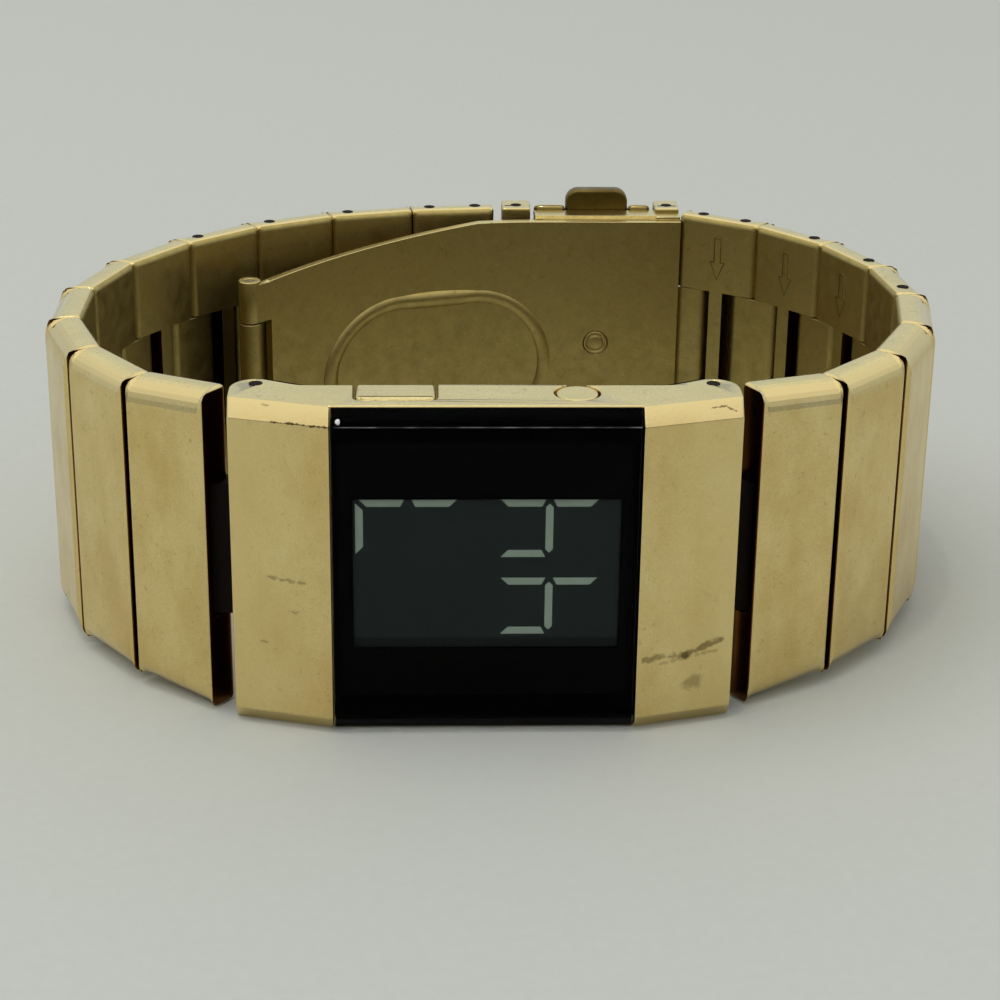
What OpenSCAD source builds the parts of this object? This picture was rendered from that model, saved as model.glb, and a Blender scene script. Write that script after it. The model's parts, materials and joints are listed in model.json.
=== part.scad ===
// Digital bracelet watch, standing on the long edge of its closed band.
// X runs along the case, Y from the lens back to the clasp, Z is up and runs across the band.

/* [Case] */
// height of the case across the band
case_height = 24; // [20:0.5:30]
// half width of the lens field
lens_half = 10.5; // [8:0.1:14]
// half length of the case over its side panels
case_half = 17.4; // [14:0.1:22]
// how far the ends of the side panels lie behind the lens front
panel_drop = 2.0; // [1:0.1:4]
// depth of the case behind the lens front
case_depth = 5.25; // [5:0.05:8]
// depth over the rounded bosses that carry the bracelet pins
boss_depth = 6.5; // [6:0.1:9]
// radius of a pin boss
boss_radius = 1.8; // [1.4:0.1:2.4]
// height of the bevel along the front edges
bevel_height = 1.15; // [0.6:0.05:2]
// depth of the same bevel
bevel_depth = 0.88; // [0.5:0.02:1.4]
// wall between the movement space and the case edge
case_wall = 2.6; // [2.4:0.1:3.5]

/* [Lens and display] */
// thickness of the lens
lens_thick = 1.0; // [0.8:0.05:1.4]
// thickness of the lens gasket
gasket_thick = 0.14; // [0.1:0.02:0.3]
// left end of the display window
window_left = -9.1; // [-9.3:0.1:-6]
// right end of the display window
window_right = 9.2; // [6:0.1:9.3]
// lower edge of the display window
window_low = 5.9; // [4:0.1:9]
// upper edge of the display window
window_high = 17.1; // [14:0.1:19]
// thickness of the black mask round the window
mask_thick = 0.35; // [0.2:0.05:0.6]
// thickness of the display cell
cell_thick = 0.8; // [0.6:0.05:1.2]
// width of one display segment
segment_width = 0.55; // [0.3:0.05:0.8]

/* [Pushers] */
// length of the rounded rectangular pusher
mode_length = 5.4; // [4:0.1:7]
// middle of the rectangular pusher along the case
mode_x = -6.1; // [-7:0.1:-4]
// front edge of the rectangular pusher
mode_front = 2.3; // [2:0.1:3]
// middle of the round pusher along the case
set_x = 6.2; // [4:0.1:7.5]
// radius of the round pusher
set_radius = 1.42; // [1:0.02:1.8]
// travel of both pushers
pusher_travel = 0.45; // [0.2:0.05:0.6]
// gap round a pusher
pusher_gap = 0.16; // [0.1:0.02:0.3]
// radius of a pusher's stem
stem_radius = 0.5; // [0.4:0.02:0.55]

/* [Bracelet] */
// height of the band beyond the first links
band_height = 22.8; // [18:0.2:26]
// thickness of a link
link_thick = 2.86; // [2.4:0.02:3.4]
// distance between the two pins inside a link
link_pins = 3.9; // [3.4:0.05:5]
// distance between the two pins of a connector
connector_pins = 3.2; // [2.8:0.05:4]
// distance between the pins of the two connectors at the case
case_connector_pins = 3.9; // [3.5:0.05:4.5]
// distance between the pins of the connector at the clasp
clasp_connector_pins = 3.65; // [3.3:0.05:4.2]
// how far a link reaches past its own pins
link_end = 1.56; // [1.4:0.01:1.58]
// depth of the pins below the outer face
pin_depth = 1.75; // [1.6:0.01:1.9]
// radius of the long outer edges
edge_round = 1.85; // [1:0.05:1.95]
// bevel round the inner faces
inner_bevel = 0.7; // [0.4:0.05:0.9]
// chamfer on the ends of the outer faces
end_chamfer = 0.4; // [0.2:0.05:0.7]
// width of the bar across the middle of a link
crossbar = 1.2; // [0.8:0.1:1.6]
// thickness of the outer plate over a connector
outer_plate = 0.75; // [0.6:0.05:0.8]
// height of the space for a connector
pocket_height = 10.1; // [8:0.1:12]
// radius of a bracelet pin
pin_radius = 0.45; // [0.35:0.01:0.5]
// radial clearance of a pin in a link
pin_clearance = 0.05; // [0.02:0.01:0.1]
// half thickness of a connector
connector_half = 0.85; // [0.7:0.01:0.9]
// directions of the left links in the closed band
left_angles = [37, 53, 71, 91, 110, 126, 139, 152.5, 165.2, 173.7]; // [0:0.1:180]
// directions of the right links in the closed band
right_angles = [30.2, 46.5, 64.5, 82, 98, 115.5, 132, 148.4]; // [0:0.1:180]
// direction of the left connector at the case
left_start = 3; // [0:0.5:15]
// direction of the right connector at the case
right_start = 6; // [0:0.5:15]

/* [Clasp] */
// gap between the last right link and the end bar on the inner blade
end_gap = 1.52; // [1.3:0.02:2.5]
// thickness of the latch cover
cover_thick = 1.95; // [1.9:0.05:2.2]
// length of the end bar beside the latch cover
bar_length = 2.45; // [2.3:0.05:3]
// length of the end bar on the inner blade
far_bar_length = 2.1; // [1.8:0.05:2.15]
// chamfer on the outer corner of that end bar
far_bar_chamfer = 0.5; // [0.45:0.05:0.9]
// gap between the bars and the latch cover
cover_gap = 0.33; // [0.25:0.01:0.5]
// thickness of a folding blade
blade_thick = 0.8; // [0.6:0.05:1]
// depth of the outer blade below the clasp face
outer_blade_depth = 3.05; // [3:0.05:3.2]
// depth of the inner blade below the clasp face
inner_blade_depth = 4.05; // [4:0.05:4.4]
// radius of the curved part of the inner blade
blade_radius = 33.4; // [28:0.1:45]
// angle that the curved part of the blades covers
blade_sweep = 46; // [38:0.5:48]
// height of the inner blade beside the bars
blade_height = 21.6; // [18:0.1:22.4]
// height of the inner blade at its hinge
blade_height_hinge = 16.4; // [14:0.1:18]
// radius of the hinge knuckles
knuckle_radius = 0.9; // [0.8:0.02:1]
// radius of the hinge pin
hinge_pin_radius = 0.38; // [0.3:0.01:0.45]
// height of the middle knuckle
middle_knuckle = 10; // [8:0.1:11]
// length of an outer knuckle
outer_knuckle = 3.5; // [2.5:0.1:4]
// length of a clasp button along the band
button_length = 5.3; // [4:0.1:6]
// how far a clasp button stands out of the band
button_proud = 1.35; // [0.8:0.05:2]
// travel of a clasp button
button_travel = 1.0; // [0.5:0.05:1.1]
// radius of the catch stud's neck
stud_neck = 0.75; // [0.6:0.01:0.8]
// radius of the catch stud's head
stud_head = 1.1; // [0.9:0.01:1.15]

/* [Hidden] */
$fn = 48;

gold = [0.72, 0.64, 0.41];
inner_gold = [0.45, 0.38, 0.20];
steel = [0.60, 0.60, 0.58];
black = [0.03, 0.03, 0.035];

mid = case_height / 2;
panel_angle = atan2(panel_drop, case_half - lens_half);
boss_x = case_half - boss_radius;
boss_y = boss_depth - boss_radius;
head_pin = [-boss_x, boss_depth - 0.95];
seat_y = lens_thick + gasket_thick;
cavity_half = lens_half - 0.55;
battery_radius = (cavity_half - 0.55) / 2;
battery_x = cavity_half - battery_radius - 1.65;
clip_half = 1.4;
clip_left = battery_x - battery_radius - 0.8;
clip_right = battery_x + battery_radius + 0.9;
cavity_low = case_wall;
cavity_high = case_height - case_wall;
back_inner = case_depth - 0.65;
mask_y = seat_y + 0.05;
cell_y = mask_y + mask_thick + 0.07;
board_y = cell_y + cell_thick + 0.15;
board_thick = 0.55;
battery_y = board_y + board_thick;
battery_thick = back_inner - battery_y - 0.25;
pusher_head = 0.8;
pusher_spring = 0.55;
slot_floor = case_height - pusher_head - pusher_travel - pusher_spring - 0.2;
back_margin = case_wall - 0.4;
screw_z = mid - back_margin - 1.15;
set_y = (mode_front + case_depth) / 2;
digit_wide = (window_right - window_left) / 18.3;
digit_tall = (window_high - window_low) / 11.2;

inner_y = pin_depth - link_thick;
link_near = -link_end;
link_far = link_pins + link_end;
first_taper = atan2((case_height - band_height) / 2, link_far - link_near);
band_low = mid - band_height / 2;
band_high = mid + band_height / 2;
link_bore = pin_radius + pin_clearance;

// Points of a chain, written for the left side; the right side is its mirror image.
function step(k, s) = [-s * cos(k), s * sin(k)];
function turn(a, start, i) = i == 1 ? start : (a[i - 2] + a[i - 1]) / 2;
function near_pin(a, start, i) = i == 1
  ? head_pin + step(start, case_connector_pins)
  : far_pin(a, start, i - 1) + step(turn(a, start, i), connector_pins);
function far_pin(a, start, i) = near_pin(a, start, i) + step(a[i - 1], link_pins);
function before_pin(a, start, i) = i == 1 ? head_pin : far_pin(a, start, i - 1);
function corner(a, start, i, x) = near_pin(a, start, i) + step(a[i - 1], x)
  + pin_depth * [-sin(a[i - 1]), -cos(a[i - 1])];

left_count = len(left_angles);
right_count = len(right_angles);
left_last = far_pin(left_angles, left_start, left_count);
left_end_angle = (left_angles[left_count - 1] + 180) / 2;
clasp_pin = left_last + step(left_end_angle, clasp_connector_pins);
clasp_y = clasp_pin[1] + pin_depth;
right_last = far_pin(right_angles, right_start, right_count);
right_end_angle = right_angles[right_count - 1] + 3;

bar_near = -bar_length / 2 - 0.1;
bar_far = bar_near + bar_length;
cover_near = bar_far + cover_gap;
right_corner = -corner(right_angles, right_start, right_count, link_far)[0];
far_bar_far = right_corner - end_gap - clasp_pin[0];
far_bar_near = far_bar_far - far_bar_length;
cover_far = far_bar_near - cover_gap;
cover_length = cover_far - cover_near;
far_pin_u = far_bar_near + 0.95;
button_u = cover_near + 0.538 * cover_length;
blade_start = bar_far + 1.1;
tongue_half = 6.2;
outer_blade_half = 7.5;
rail_low = tongue_half + 0.3;
button_spring = 1.7;
spring_seat = 5.8;
button_base = spring_seat + button_spring + button_travel + 0.1;
arc_radius = blade_radius;
arc_center = [clasp_pin[0] + blade_start, clasp_y - inner_blade_depth - blade_thick / 2 - arc_radius];
hinge_radius = arc_radius + (inner_blade_depth - outer_blade_depth) / 2;
hinge_pos = arc_center + hinge_radius * [-sin(blade_sweep), cos(blade_sweep)];
outer_arc = arc_radius + inner_blade_depth - outer_blade_depth;

left_xs = [for (i = [1 : left_count]) for (x = [link_near, link_far])
  corner(left_angles, left_start, i, x)[0]];
right_xs = [for (i = [1 : right_count]) for (x = [link_near, link_far])
  -corner(right_angles, right_start, i, x)[0]];
centre = [(min(left_xs) + max(right_xs)) / 2, clasp_y / 2];
base = max(0, button_proud - band_low);

// Puts the finished piece into the frame of the part.
module placed(tone) {
  color(tone) translate([-centre[0], -centre[1], base]) children();
}

// A box given by its two corners.
module block(a, b) {
  translate(a) cube(b - a);
}

// Local frame of one link or connector: X along the band, outer face towards +Y.
module on_left(point, k) {
  translate([point[0], point[1], mid]) rotate([0, 0, 180 - k]) children();
}

module on_right(point, k) {
  mirror([1, 0, 0]) on_left(point, k) children();
}

// Frame of the clasp: X from the end bar's pin towards the right end, outer face at Y = 0.
module in_clasp() {
  translate([clasp_pin[0], clasp_y, mid]) children();
}

// Cross-section of the band: Y to the right, Z up, with the outer edges rounded.
module band_section(h) {
  r = edge_round;
  b = inner_bevel;
  difference() {
    union() {
      translate([inner_y, -h / 2]) square([link_thick - r, h]);
      translate([inner_y, -h / 2 + r]) square([link_thick, h - 2 * r]);
      for (s = [-1, 1]) translate([pin_depth - r, s * (h / 2 - r)]) circle(r);
    }
    for (s = [-1, 1]) translate([inner_y, s * h / 2]) rotate(45)
      square(b * sqrt(2), center = true);
  }
}

// Upper half of a band piece whose top falls towards its far end.
module half_band(near, far, h, fall) {
  translate([near, 0, h / 2]) rotate([0, fall, 0]) translate([-1, 0, -h / 2])
    rotate([90, 0, 90]) linear_extrude(far - near + 2) intersection() {
      band_section(h);
      translate([-20, -2]) square([40, h]);
    }
}

// Plan of a link: chamfered outer ends, inner ends drawn in so that the band can close.
module link_plan(near, far) {
  c = end_chamfer;
  b = inner_bevel;
  polygon([[near + c, pin_depth], [far - c, pin_depth], [far, pin_depth - c], [far, 0.25],
    [far - 0.15, inner_y + b], [far - b, inner_y], [near + b, inner_y],
    [near + 0.15, inner_y + b], [near, 0.25], [near, pin_depth - c]]);
}

module band_piece(near, far, h, fall) {
  intersection() {
    union() {
      half_band(near, far, h, fall);
      mirror([0, 0, 1]) half_band(near, far, h, fall);
    }
    translate([0, 0, -h]) linear_extrude(2 * h) link_plan(near, far);
  }
}

// Outline arrow that shows which way the pins are pushed out.
module arrow_outline() {
  difference() {
    polygon([[-0.55, 2.1], [0.55, 2.1], [0.55, -0.4], [1.0, -0.4], [0, -2.3], [-1.0, -0.4], [-0.55, -0.4]]);
    polygon([[-0.33, 1.88], [0.33, 1.88], [0.33, -0.62], [0.63, -0.62], [0, -1.82],
      [-0.63, -0.62], [-0.33, -0.62]]);
  }
}

module pin_bore(x, h, open_top) {
  translate([x, 0, -h]) cylinder(r = link_bore, h = open_top ? 2 * h : h + h / 2 - 1.3);
}

// One outer link with pockets for two connectors and a bar between them.
module chain_link(first, open_near, open_far, arrow) {
  h = first ? case_height : band_height;
  p = pocket_height / 2;
  m = link_pins / 2;
  difference() {
    band_piece(link_near, link_far, h, first ? first_taper : 0);
    block([link_near - 1, inner_y - 1, -p], [m - crossbar / 2, pin_depth - outer_plate, p]);
    block([m + crossbar / 2, inner_y - 1, -p], [link_far + 1, pin_depth - outer_plate, p]);
    pin_bore(0, h, open_near);
    pin_bore(link_pins, h, open_far);
    if (arrow) translate([m, inner_y + 0.12, (p + band_height / 2) / 2 - 0.1])
      rotate([90, 0, 0]) linear_extrude(1) arrow_outline();
  }
}

// A connector and the one or two pins that it swings on.
module connector(span, open_a, open_b) {
  p = pocket_height / 2 - 0.1;
  r = connector_half;
  difference() {
    union() {
      for (x = [0, span]) translate([x, 0, -p]) cylinder(r = r, h = 2 * p);
      block([0, -r, -p], [span, r, p]);
    }
    for (x = [0, span]) translate([x, 0, -p - 1])
      cylinder(r = pin_radius + 0.02, h = 2 * p + 2);
  }
  translate([0, 0, 0.5 - band_height / 2])
    cylinder(r = pin_radius, h = band_height - (open_a ? 1 : 2));
  translate([span, 0, 0.5 - band_height / 2])
    cylinder(r = pin_radius, h = band_height - (open_b ? 1 : 2));
}

// The last connector on the right stops short of the clasp: this is the opened pivot.
module short_connector() {
  p = pocket_height / 2 - 0.1;
  r = connector_half;
  difference() {
    union() {
      translate([0, 0, -p]) cylinder(r = r, h = 2 * p);
      block([0, -r, -p], [link_end - 0.1, r, p]);
    }
    translate([0, 0, -p - 1]) cylinder(r = pin_radius + 0.02, h = 2 * p + 2);
  }
  translate([0, 0, 0.5 - band_height / 2]) cylinder(r = pin_radius, h = band_height - 1);
}

module left_connector(i) {
  placed(inner_gold) on_left(before_pin(left_angles, left_start, i), turn(left_angles, left_start, i))
    connector(i == 1 ? case_connector_pins : connector_pins, i == 1, i > 6);
}

module left_link(i) {
  placed(gold) on_left(near_pin(left_angles, left_start, i), left_angles[i - 1])
    chain_link(i == 1, i > 6, i == 10, false);
}

module left_end_connector() {
  placed(inner_gold) on_left(left_last, left_end_angle)
    connector(clasp_connector_pins, true, true);
}

module right_connector(i) {
  placed(inner_gold) on_right(before_pin(right_angles, right_start, i), turn(right_angles, right_start, i))
    connector(i == 1 ? case_connector_pins : connector_pins, i == 1, i > 4);
}

module right_link(i) {
  placed(gold) on_right(near_pin(right_angles, right_start, i), right_angles[i - 1])
    chain_link(i == 1, i > 4, i == 8, i > 5);
}

module right_end_connector() {
  placed(inner_gold) on_right(right_last, right_end_angle) short_connector();
}

// Everything behind one panel's front face, with its upper and lower bevels.
module bevel_space() {
  h = bevel_height;
  d = bevel_depth;
  t = case_height;
  translate([-60, 0, 0]) rotate([90, 0, 90]) linear_extrude(120)
    polygon([[0, h], [d, 0], [30, 0], [30, t], [d, t], [0, t - h]]);
}

module case_blank() {
  intersection() {
    linear_extrude(case_height) union() {
      polygon([[-case_half, panel_drop], [-lens_half, 0], [lens_half, 0], [case_half, panel_drop],
        [case_half, boss_y], [boss_x - 1, case_depth], [1 - boss_x, case_depth], [-case_half, boss_y]]);
      for (s = [-1, 1]) translate([s * boss_x, boss_y]) circle(boss_radius);
    }
    bevel_space();
    translate([-lens_half, 0, 0]) rotate([0, 0, -panel_angle]) bevel_space();
    translate([lens_half, 0, 0]) rotate([0, 0, panel_angle]) bevel_space();
  }
}

// Rounded front corners, open towards the back of the case.
module mode_outline(gap) {
  l = mode_length / 2 + gap;
  f = mode_front - gap;
  r = 0.7 + gap;
  translate([mode_x, 0]) union() {
    translate([-l, f + r]) square([2 * l, case_depth - f - r]);
    translate([-l + r, f]) square([2 * l - 2 * r, case_depth - f]);
    for (s = [-1, 1]) translate([s * (l - r), f + r]) circle(r);
  }
}

module screw_places() {
  for (x = [-1, 1]) for (z = [-1, 1])
    translate([x * (cavity_half + 1.2), 0, mid + z * screw_z])
      rotate([-90, 0, 0]) children();
}

module case() {
  p = pocket_height / 2 + 0.05;
  placed(gold) difference() {
    case_blank();
    block([-lens_half, -1, -1], [lens_half, seat_y, case_height + 1]);
    block([-cavity_half, 0, cavity_low], [cavity_half, case_depth + 1, cavity_high]);
    block([-cavity_half - 2.3, back_inner, back_margin],
      [cavity_half + 2.3, case_depth + 1, case_height - back_margin]);
    translate([0, 0, slot_floor]) linear_extrude(9) mode_outline(pusher_gap);
    block([mode_x - mode_length / 2 - pusher_gap, case_depth - 1, slot_floor],
      [mode_x + mode_length / 2 + pusher_gap, case_depth + 1, case_height + 1]);
    translate([set_x, set_y, slot_floor]) cylinder(r = set_radius + pusher_gap, h = 9);
    for (x = [mode_x, set_x]) translate([x, set_y, cavity_high - 1]) cylinder(r = stem_radius + 0.06, h = 3);
    screw_places() translate([0, 0, 2.6]) cylinder(r = 0.5, h = 4);
    for (s = [-1, 1]) translate([s * boss_x, head_pin[1], -1])
      cylinder(r = link_bore, h = case_height + 2);
    for (s = [0, 1]) mirror([s, 0, 0])
      block([boss_x - 1.15, head_pin[1] - 1.05, mid - p], [case_half + 2, boss_depth + 2, mid + p]);
  }
}

module lens() {
  placed(black) intersection() {
    block([-lens_half + 0.08, 0, 0.1], [lens_half - 0.08, lens_thick, case_height - 0.1]);
    bevel_space();
  }
}

module lens_gasket() {
  placed(black) difference() {
    block([-lens_half + 0.1, lens_thick, 0.9], [lens_half - 0.1, seat_y, case_height - 0.9]);
    block([-cavity_half, 0, cavity_low], [cavity_half, 5, cavity_high]);
  }
}

module display_mask() {
  placed([0.015, 0.015, 0.018]) difference() {
    block([-cavity_half + 0.03, mask_y, cavity_low + 0.03],
      [cavity_half - 0.03, mask_y + mask_thick, cavity_high - 0.03]);
    block([window_left, 0, window_low], [window_right, 9, window_high]);
    // small rear pocket that holds the display cell
    block([-cavity_half + 0.3, mask_y + mask_thick - 0.08, window_low - 0.5],
      [cavity_half - 0.3, 9, window_high + 0.5]);
  }
}

module lcd_panel() {
  placed([0.13, 0.15, 0.15]) block([-cavity_half + 0.33, mask_y + mask_thick - 0.08, window_low - 0.47],
    [cavity_half - 0.33, cell_y + cell_thick, window_high + 0.47]);
}

// One segment with mitred ends, its middle given from the window's left edge and upper edge.
module segment(x, z, l, upright) {
  w = segment_width / 2;
  n = l / 2 * (upright ? digit_tall : digit_wide);
  translate([window_left + x * digit_wide, mask_y + mask_thick - 0.08, window_high - 0.3 - z * digit_tall])
    rotate([90, upright ? 90 : 0, 0])
      linear_extrude(0.05) polygon([[-n, 0], [-n + w, w], [n - w, w], [n, 0], [n - w, -w], [-n + w, -w]]);
}

// The lit segments: a 7 beside a pair of 4s, with the digit tops towards the left pin.
module lcd_digits() {
  placed([0.43, 0.46, 0.43]) {
    segment(2.2, 0, 3.4, false);
    segment(6.0, 0, 3.0, false);
    segment(0.55, 2.0, 3.6, true);
    segment(11.7, 0, 3.3, false);
    segment(15.5, 0, 2.9, false);
    segment(13.7, 1.95, 3.4, true);
    segment(11.7, 3.9, 3.3, false);
    segment(11.7, 5.8, 3.3, false);
    segment(15.4, 5.8, 2.9, false);
    segment(13.6, 7.7, 3.4, true);
    segment(11.7, 9.6, 3.3, false);
  }
}

module circuit_board() {
  placed([0.10, 0.30, 0.16]) {
    block([-cavity_half + 0.4, board_y, cavity_low + 0.3],
      [cavity_half - 0.4, battery_y, cavity_high - 1.5]);
    for (z = [window_low, window_high - 0.8])
      block([-cavity_half + 0.6, cell_y + cell_thick, z], [cavity_half - 0.6, board_y, z + 0.8]);
    block([-cavity_half + 1.35, battery_y, mid - 4], [clip_left - 1.3, battery_y + 0.6, mid + 2]);
  }
}

module battery() {
  placed(steel) translate([battery_x, battery_y, mid]) rotate([-90, 0, 0]) {
    cylinder(r = battery_radius, h = battery_thick - 0.15);
    cylinder(r = battery_radius - 0.5, h = battery_thick);
  }
}

module battery_clip() {
  placed([0.68, 0.66, 0.60]) {
    top = battery_y + battery_thick;
    block([clip_left, top, mid - clip_half], [clip_right, top + 0.15, mid + clip_half]);
    block([clip_left, battery_y, mid - clip_half], [clip_left + 0.3, top, mid + clip_half]);
    block([clip_right - 0.3, battery_y, mid - clip_half], [clip_right, top, mid + clip_half]);
  }
}

module case_back() {
  placed(steel) difference() {
    block([-cavity_half - 2.24, back_inner, back_margin + 0.06],
      [cavity_half + 2.24, case_depth + 0.2, case_height - back_margin - 0.06]);
    screw_places() cylinder(r = 0.5, h = 9);
    screw_places() translate([0, 0, case_depth - 0.25]) cylinder(r = 0.82, h = 9);
  }
}

module case_back_screws() {
  placed([0.52, 0.52, 0.50]) screw_places() {
    translate([0, 0, 2.9]) cylinder(r = 0.46, h = case_depth - 3.0);
    difference() {
      translate([0, 0, case_depth - 0.25]) cylinder(r = 0.76, h = 0.4);
      translate([-1, -0.12, case_depth + 0.02]) cube([2, 0.24, 1]);
    }
  }
}

module mode_pusher() {
  head_low = case_height - pusher_head;
  placed(gold) {
    difference() {
      translate([0, 0, head_low]) linear_extrude(pusher_head + 0.06) mode_outline(0);
      // soft bevel along the front edge
      translate([mode_x, mode_front, case_height + 0.06]) rotate([45, 0, 0])
        cube([mode_length + 1, 0.45, 0.45], center = true);
    }
    translate([mode_x, set_y, cavity_high - 0.5]) cylinder(r = stem_radius, h = head_low - cavity_high + 0.6);
    translate([mode_x, set_y, cavity_high - 0.75]) cylinder(r = stem_radius + 0.26, h = 0.4);
  }
}

module set_pusher() {
  head_low = case_height - pusher_head;
  placed(gold) translate([set_x, set_y, 0]) {
    translate([0, 0, head_low]) cylinder(r = set_radius, h = pusher_head - 0.05);
    translate([0, 0, cavity_high - 0.5]) cylinder(r = stem_radius, h = head_low - cavity_high + 0.6);
    translate([0, 0, cavity_high - 0.75]) cylinder(r = stem_radius + 0.26, h = 0.4);
  }
}

// Two closely wound coils, drawn at their pressed length.
module coil(inner, outer, length, turns) {
  w = (outer - inner) / 2;
  pitch = (length - 2 * w) / (turns - 1);
  rotate_extrude() intersection() {
    union() {
      for (i = [0 : turns - 1]) translate([inner + w, w + i * pitch]) circle(w, $fn = 16);
      translate([inner + w * 0.6, w * 0.5]) square([w * 0.8, length - w]);
    }
    translate([0, 0]) square([outer + 1, length]);
  }
}

module pusher_springs() {
  placed(steel) for (x = [mode_x, set_x])
    translate([x, set_y, slot_floor]) coil(stem_radius + 0.1, stem_radius + 0.5, pusher_spring, 2);
}

// Plan of an arc-shaped blade from the clasp to an angle short of the hinge.
module blade_arc(radius, from_angle, to_angle) {
  a = -clasp_pin[0] + arc_center[0];
  b = arc_center[1] - clasp_y;
  translate([a, b]) intersection() {
    difference() {
      circle(radius + blade_thick / 2, $fn = 360);
      circle(radius - blade_thick / 2, $fn = 360);
    }
    polygon([[0, 0], 60 * [-sin(to_angle), cos(to_angle)], 75 * [-sin((from_angle + to_angle) / 2),
      cos((from_angle + to_angle) / 2)], 60 * [-sin(from_angle), cos(from_angle)]]);
  }
}

module at_hinge() {
  translate([hinge_pos[0] - clasp_pin[0], hinge_pos[1] - clasp_y, 0]) children();
}

// End bar, outer blade and the tongue that carries the latch cover.
module outer_blade() {
  p = pocket_height / 2;
  to_bar = asin((blade_start - bar_far) / outer_arc);
  placed(inner_gold) in_clasp() difference() {
    union() {
      translate([0, -pin_depth, 0]) difference() {
        band_piece(bar_near, bar_far, band_height, 0);
        block([bar_near - 1, inner_y + 0.05, -p], [bar_far - 0.25, pin_depth - outer_plate, p]);
        pin_bore(0, band_height, true);
      }
      translate([0, 0, -outer_blade_half]) linear_extrude(2 * outer_blade_half)
        blade_arc(outer_arc, to_bar, blade_sweep - 1.2);
      block([bar_near + 0.7, -outer_blade_depth - 0.45, -outer_blade_half],
        [bar_far - 0.7, -link_thick + 0.03, outer_blade_half]);
      block([bar_far - 0.2, -cover_thick - 0.85, -tongue_half], [cover_far - 0.2, -cover_thick, tongue_half]);
      translate([0, 0, -middle_knuckle / 2]) linear_extrude(middle_knuckle)
        blade_arc(outer_arc, blade_sweep - 1.3, blade_sweep);
      at_hinge() translate([0, 0, -middle_knuckle / 2]) cylinder(r = knuckle_radius, h = middle_knuckle);
    }
    at_hinge() translate([0, 0, -20]) cylinder(r = hinge_pin_radius + 0.03, h = 40);
    // the outer knuckles swing in these clearances
    for (s = [0, 1]) mirror([0, 0, s]) at_hinge() translate([0, 0, middle_knuckle / 2])
      cylinder(r = knuckle_radius + 0.12, h = 9);
    // slot that the catch stud passes through
    translate([button_u, 0, 0]) rotate([90, 0, 0]) union() {
      translate([0, 0, 1]) cylinder(r = stud_head + 0.25, h = 3);
      translate([0, -stud_head - 0.25, 1]) cube([1.2, 2 * stud_head + 0.5, 3]);
      translate([1.2, 0, 1]) cylinder(r = stud_head + 0.25, h = 3);
    }
  }
}

// Inner blade, the two rails of the cradle and the right end bar.
module inner_blade() {
  d0 = inner_blade_depth;
  d1 = inner_blade_depth + blade_thick;
  p = pocket_height / 2;
  hub_gap = 2.6;
  knuckle_low = middle_knuckle / 2 + 0.12;
  placed(inner_gold) in_clasp() {
    difference() {
      union() {
        // the blade itself, tapering towards the hinge
        intersection() {
          translate([0, 0, -20]) linear_extrude(40) union() {
            translate([blade_start, -d1]) square([far_bar_far - blade_start, blade_thick]);
            blade_arc(arc_radius, 0, blade_sweep - hub_gap);
          }
          rotate([90, 0, 0]) translate([0, 0, -5]) linear_extrude(50)
            polygon([[far_bar_far + 1, -blade_height / 2], [-3.4, -blade_height / 2],
              [hinge_pos[0] - clasp_pin[0], -blade_height_hinge / 2],
              [hinge_pos[0] - clasp_pin[0], blade_height_hinge / 2],
              [-3.4, blade_height / 2], [far_bar_far + 1, blade_height / 2]]);
        }
        // straps to the outer knuckles
        for (s = [0, 1]) mirror([0, 0, s]) {
          translate([0, 0, knuckle_low]) linear_extrude(outer_knuckle - 0.25)
            blade_arc(arc_radius, blade_sweep - hub_gap - 0.3, blade_sweep);
          at_hinge() translate([0, 0, knuckle_low]) cylinder(r = knuckle_radius, h = outer_knuckle);
        }
        // rails beside the tongue
        for (s = [0, 1]) mirror([0, 0, s]) difference() {
          block([cover_near, -d0 - 0.1, rail_low],
            [far_bar_near + 0.5, -cover_thick - 0.06, band_height / 2 - 0.35]);
          translate([0, -d0 - 0.1, band_height / 2 - 0.35]) rotate([45, 0, 0])
            cube([60, 0.5, 0.5], center = true);
        }
        // end bar
        translate([0, -pin_depth, 0]) band_piece(far_bar_near, far_bar_far, band_height, 0);
        block([far_bar_near + 0.02, -d0 - 0.1, -band_height / 2 + 0.35],
          [far_bar_far - 0.02, -1.9, band_height / 2 - 0.35]);
      }
      // corner that has to pass the last right link as the blade folds in
      translate([far_bar_far, 0, -20]) linear_extrude(40)
        polygon([[-far_bar_chamfer - 3, 3], [3, 3], [3, -far_bar_chamfer - 3]]);
      block([far_bar_near + 0.3, -2.75, -p], [far_bar_far + 1, -outer_plate, p]);
      translate([far_pin_u, -pin_depth, -20]) cylinder(r = link_bore, h = 19 + band_height / 2);
      at_hinge() translate([0, 0, -20]) cylinder(r = hinge_pin_radius + 0.03, h = 40);
      // room for the middle knuckle
      at_hinge() translate([0, 0, -middle_knuckle / 2 - 0.1])
        cylinder(r = knuckle_radius + 0.15, h = middle_knuckle + 0.2);
      // shallow oval recess in the curved face
      intersection() {
        union() {
          for (u = [-10.3, -3.6]) translate([u, 0, 0]) rotate([90, 0, 0]) cylinder(r = 6.1, h = 40);
          block([-10.3, -40, -6.1], [-3.6, 0, 6.1]);
        }
        translate([arc_center[0] - clasp_pin[0], arc_center[1] - clasp_y, -20])
          cylinder(r = arc_radius - blade_thick / 2 + 0.15, h = 40, $fn = 360);
      }
      // hole for the catch stud
      translate([button_u, 0, 0]) rotate([90, 0, 0]) translate([0, 0, 3.5]) cylinder(r = 1.06, h = 3);
    }
    translate([far_pin_u, -pin_depth, 0.5 - band_height / 2])
      cylinder(r = pin_radius, h = band_height - 2);
  }
}

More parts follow.
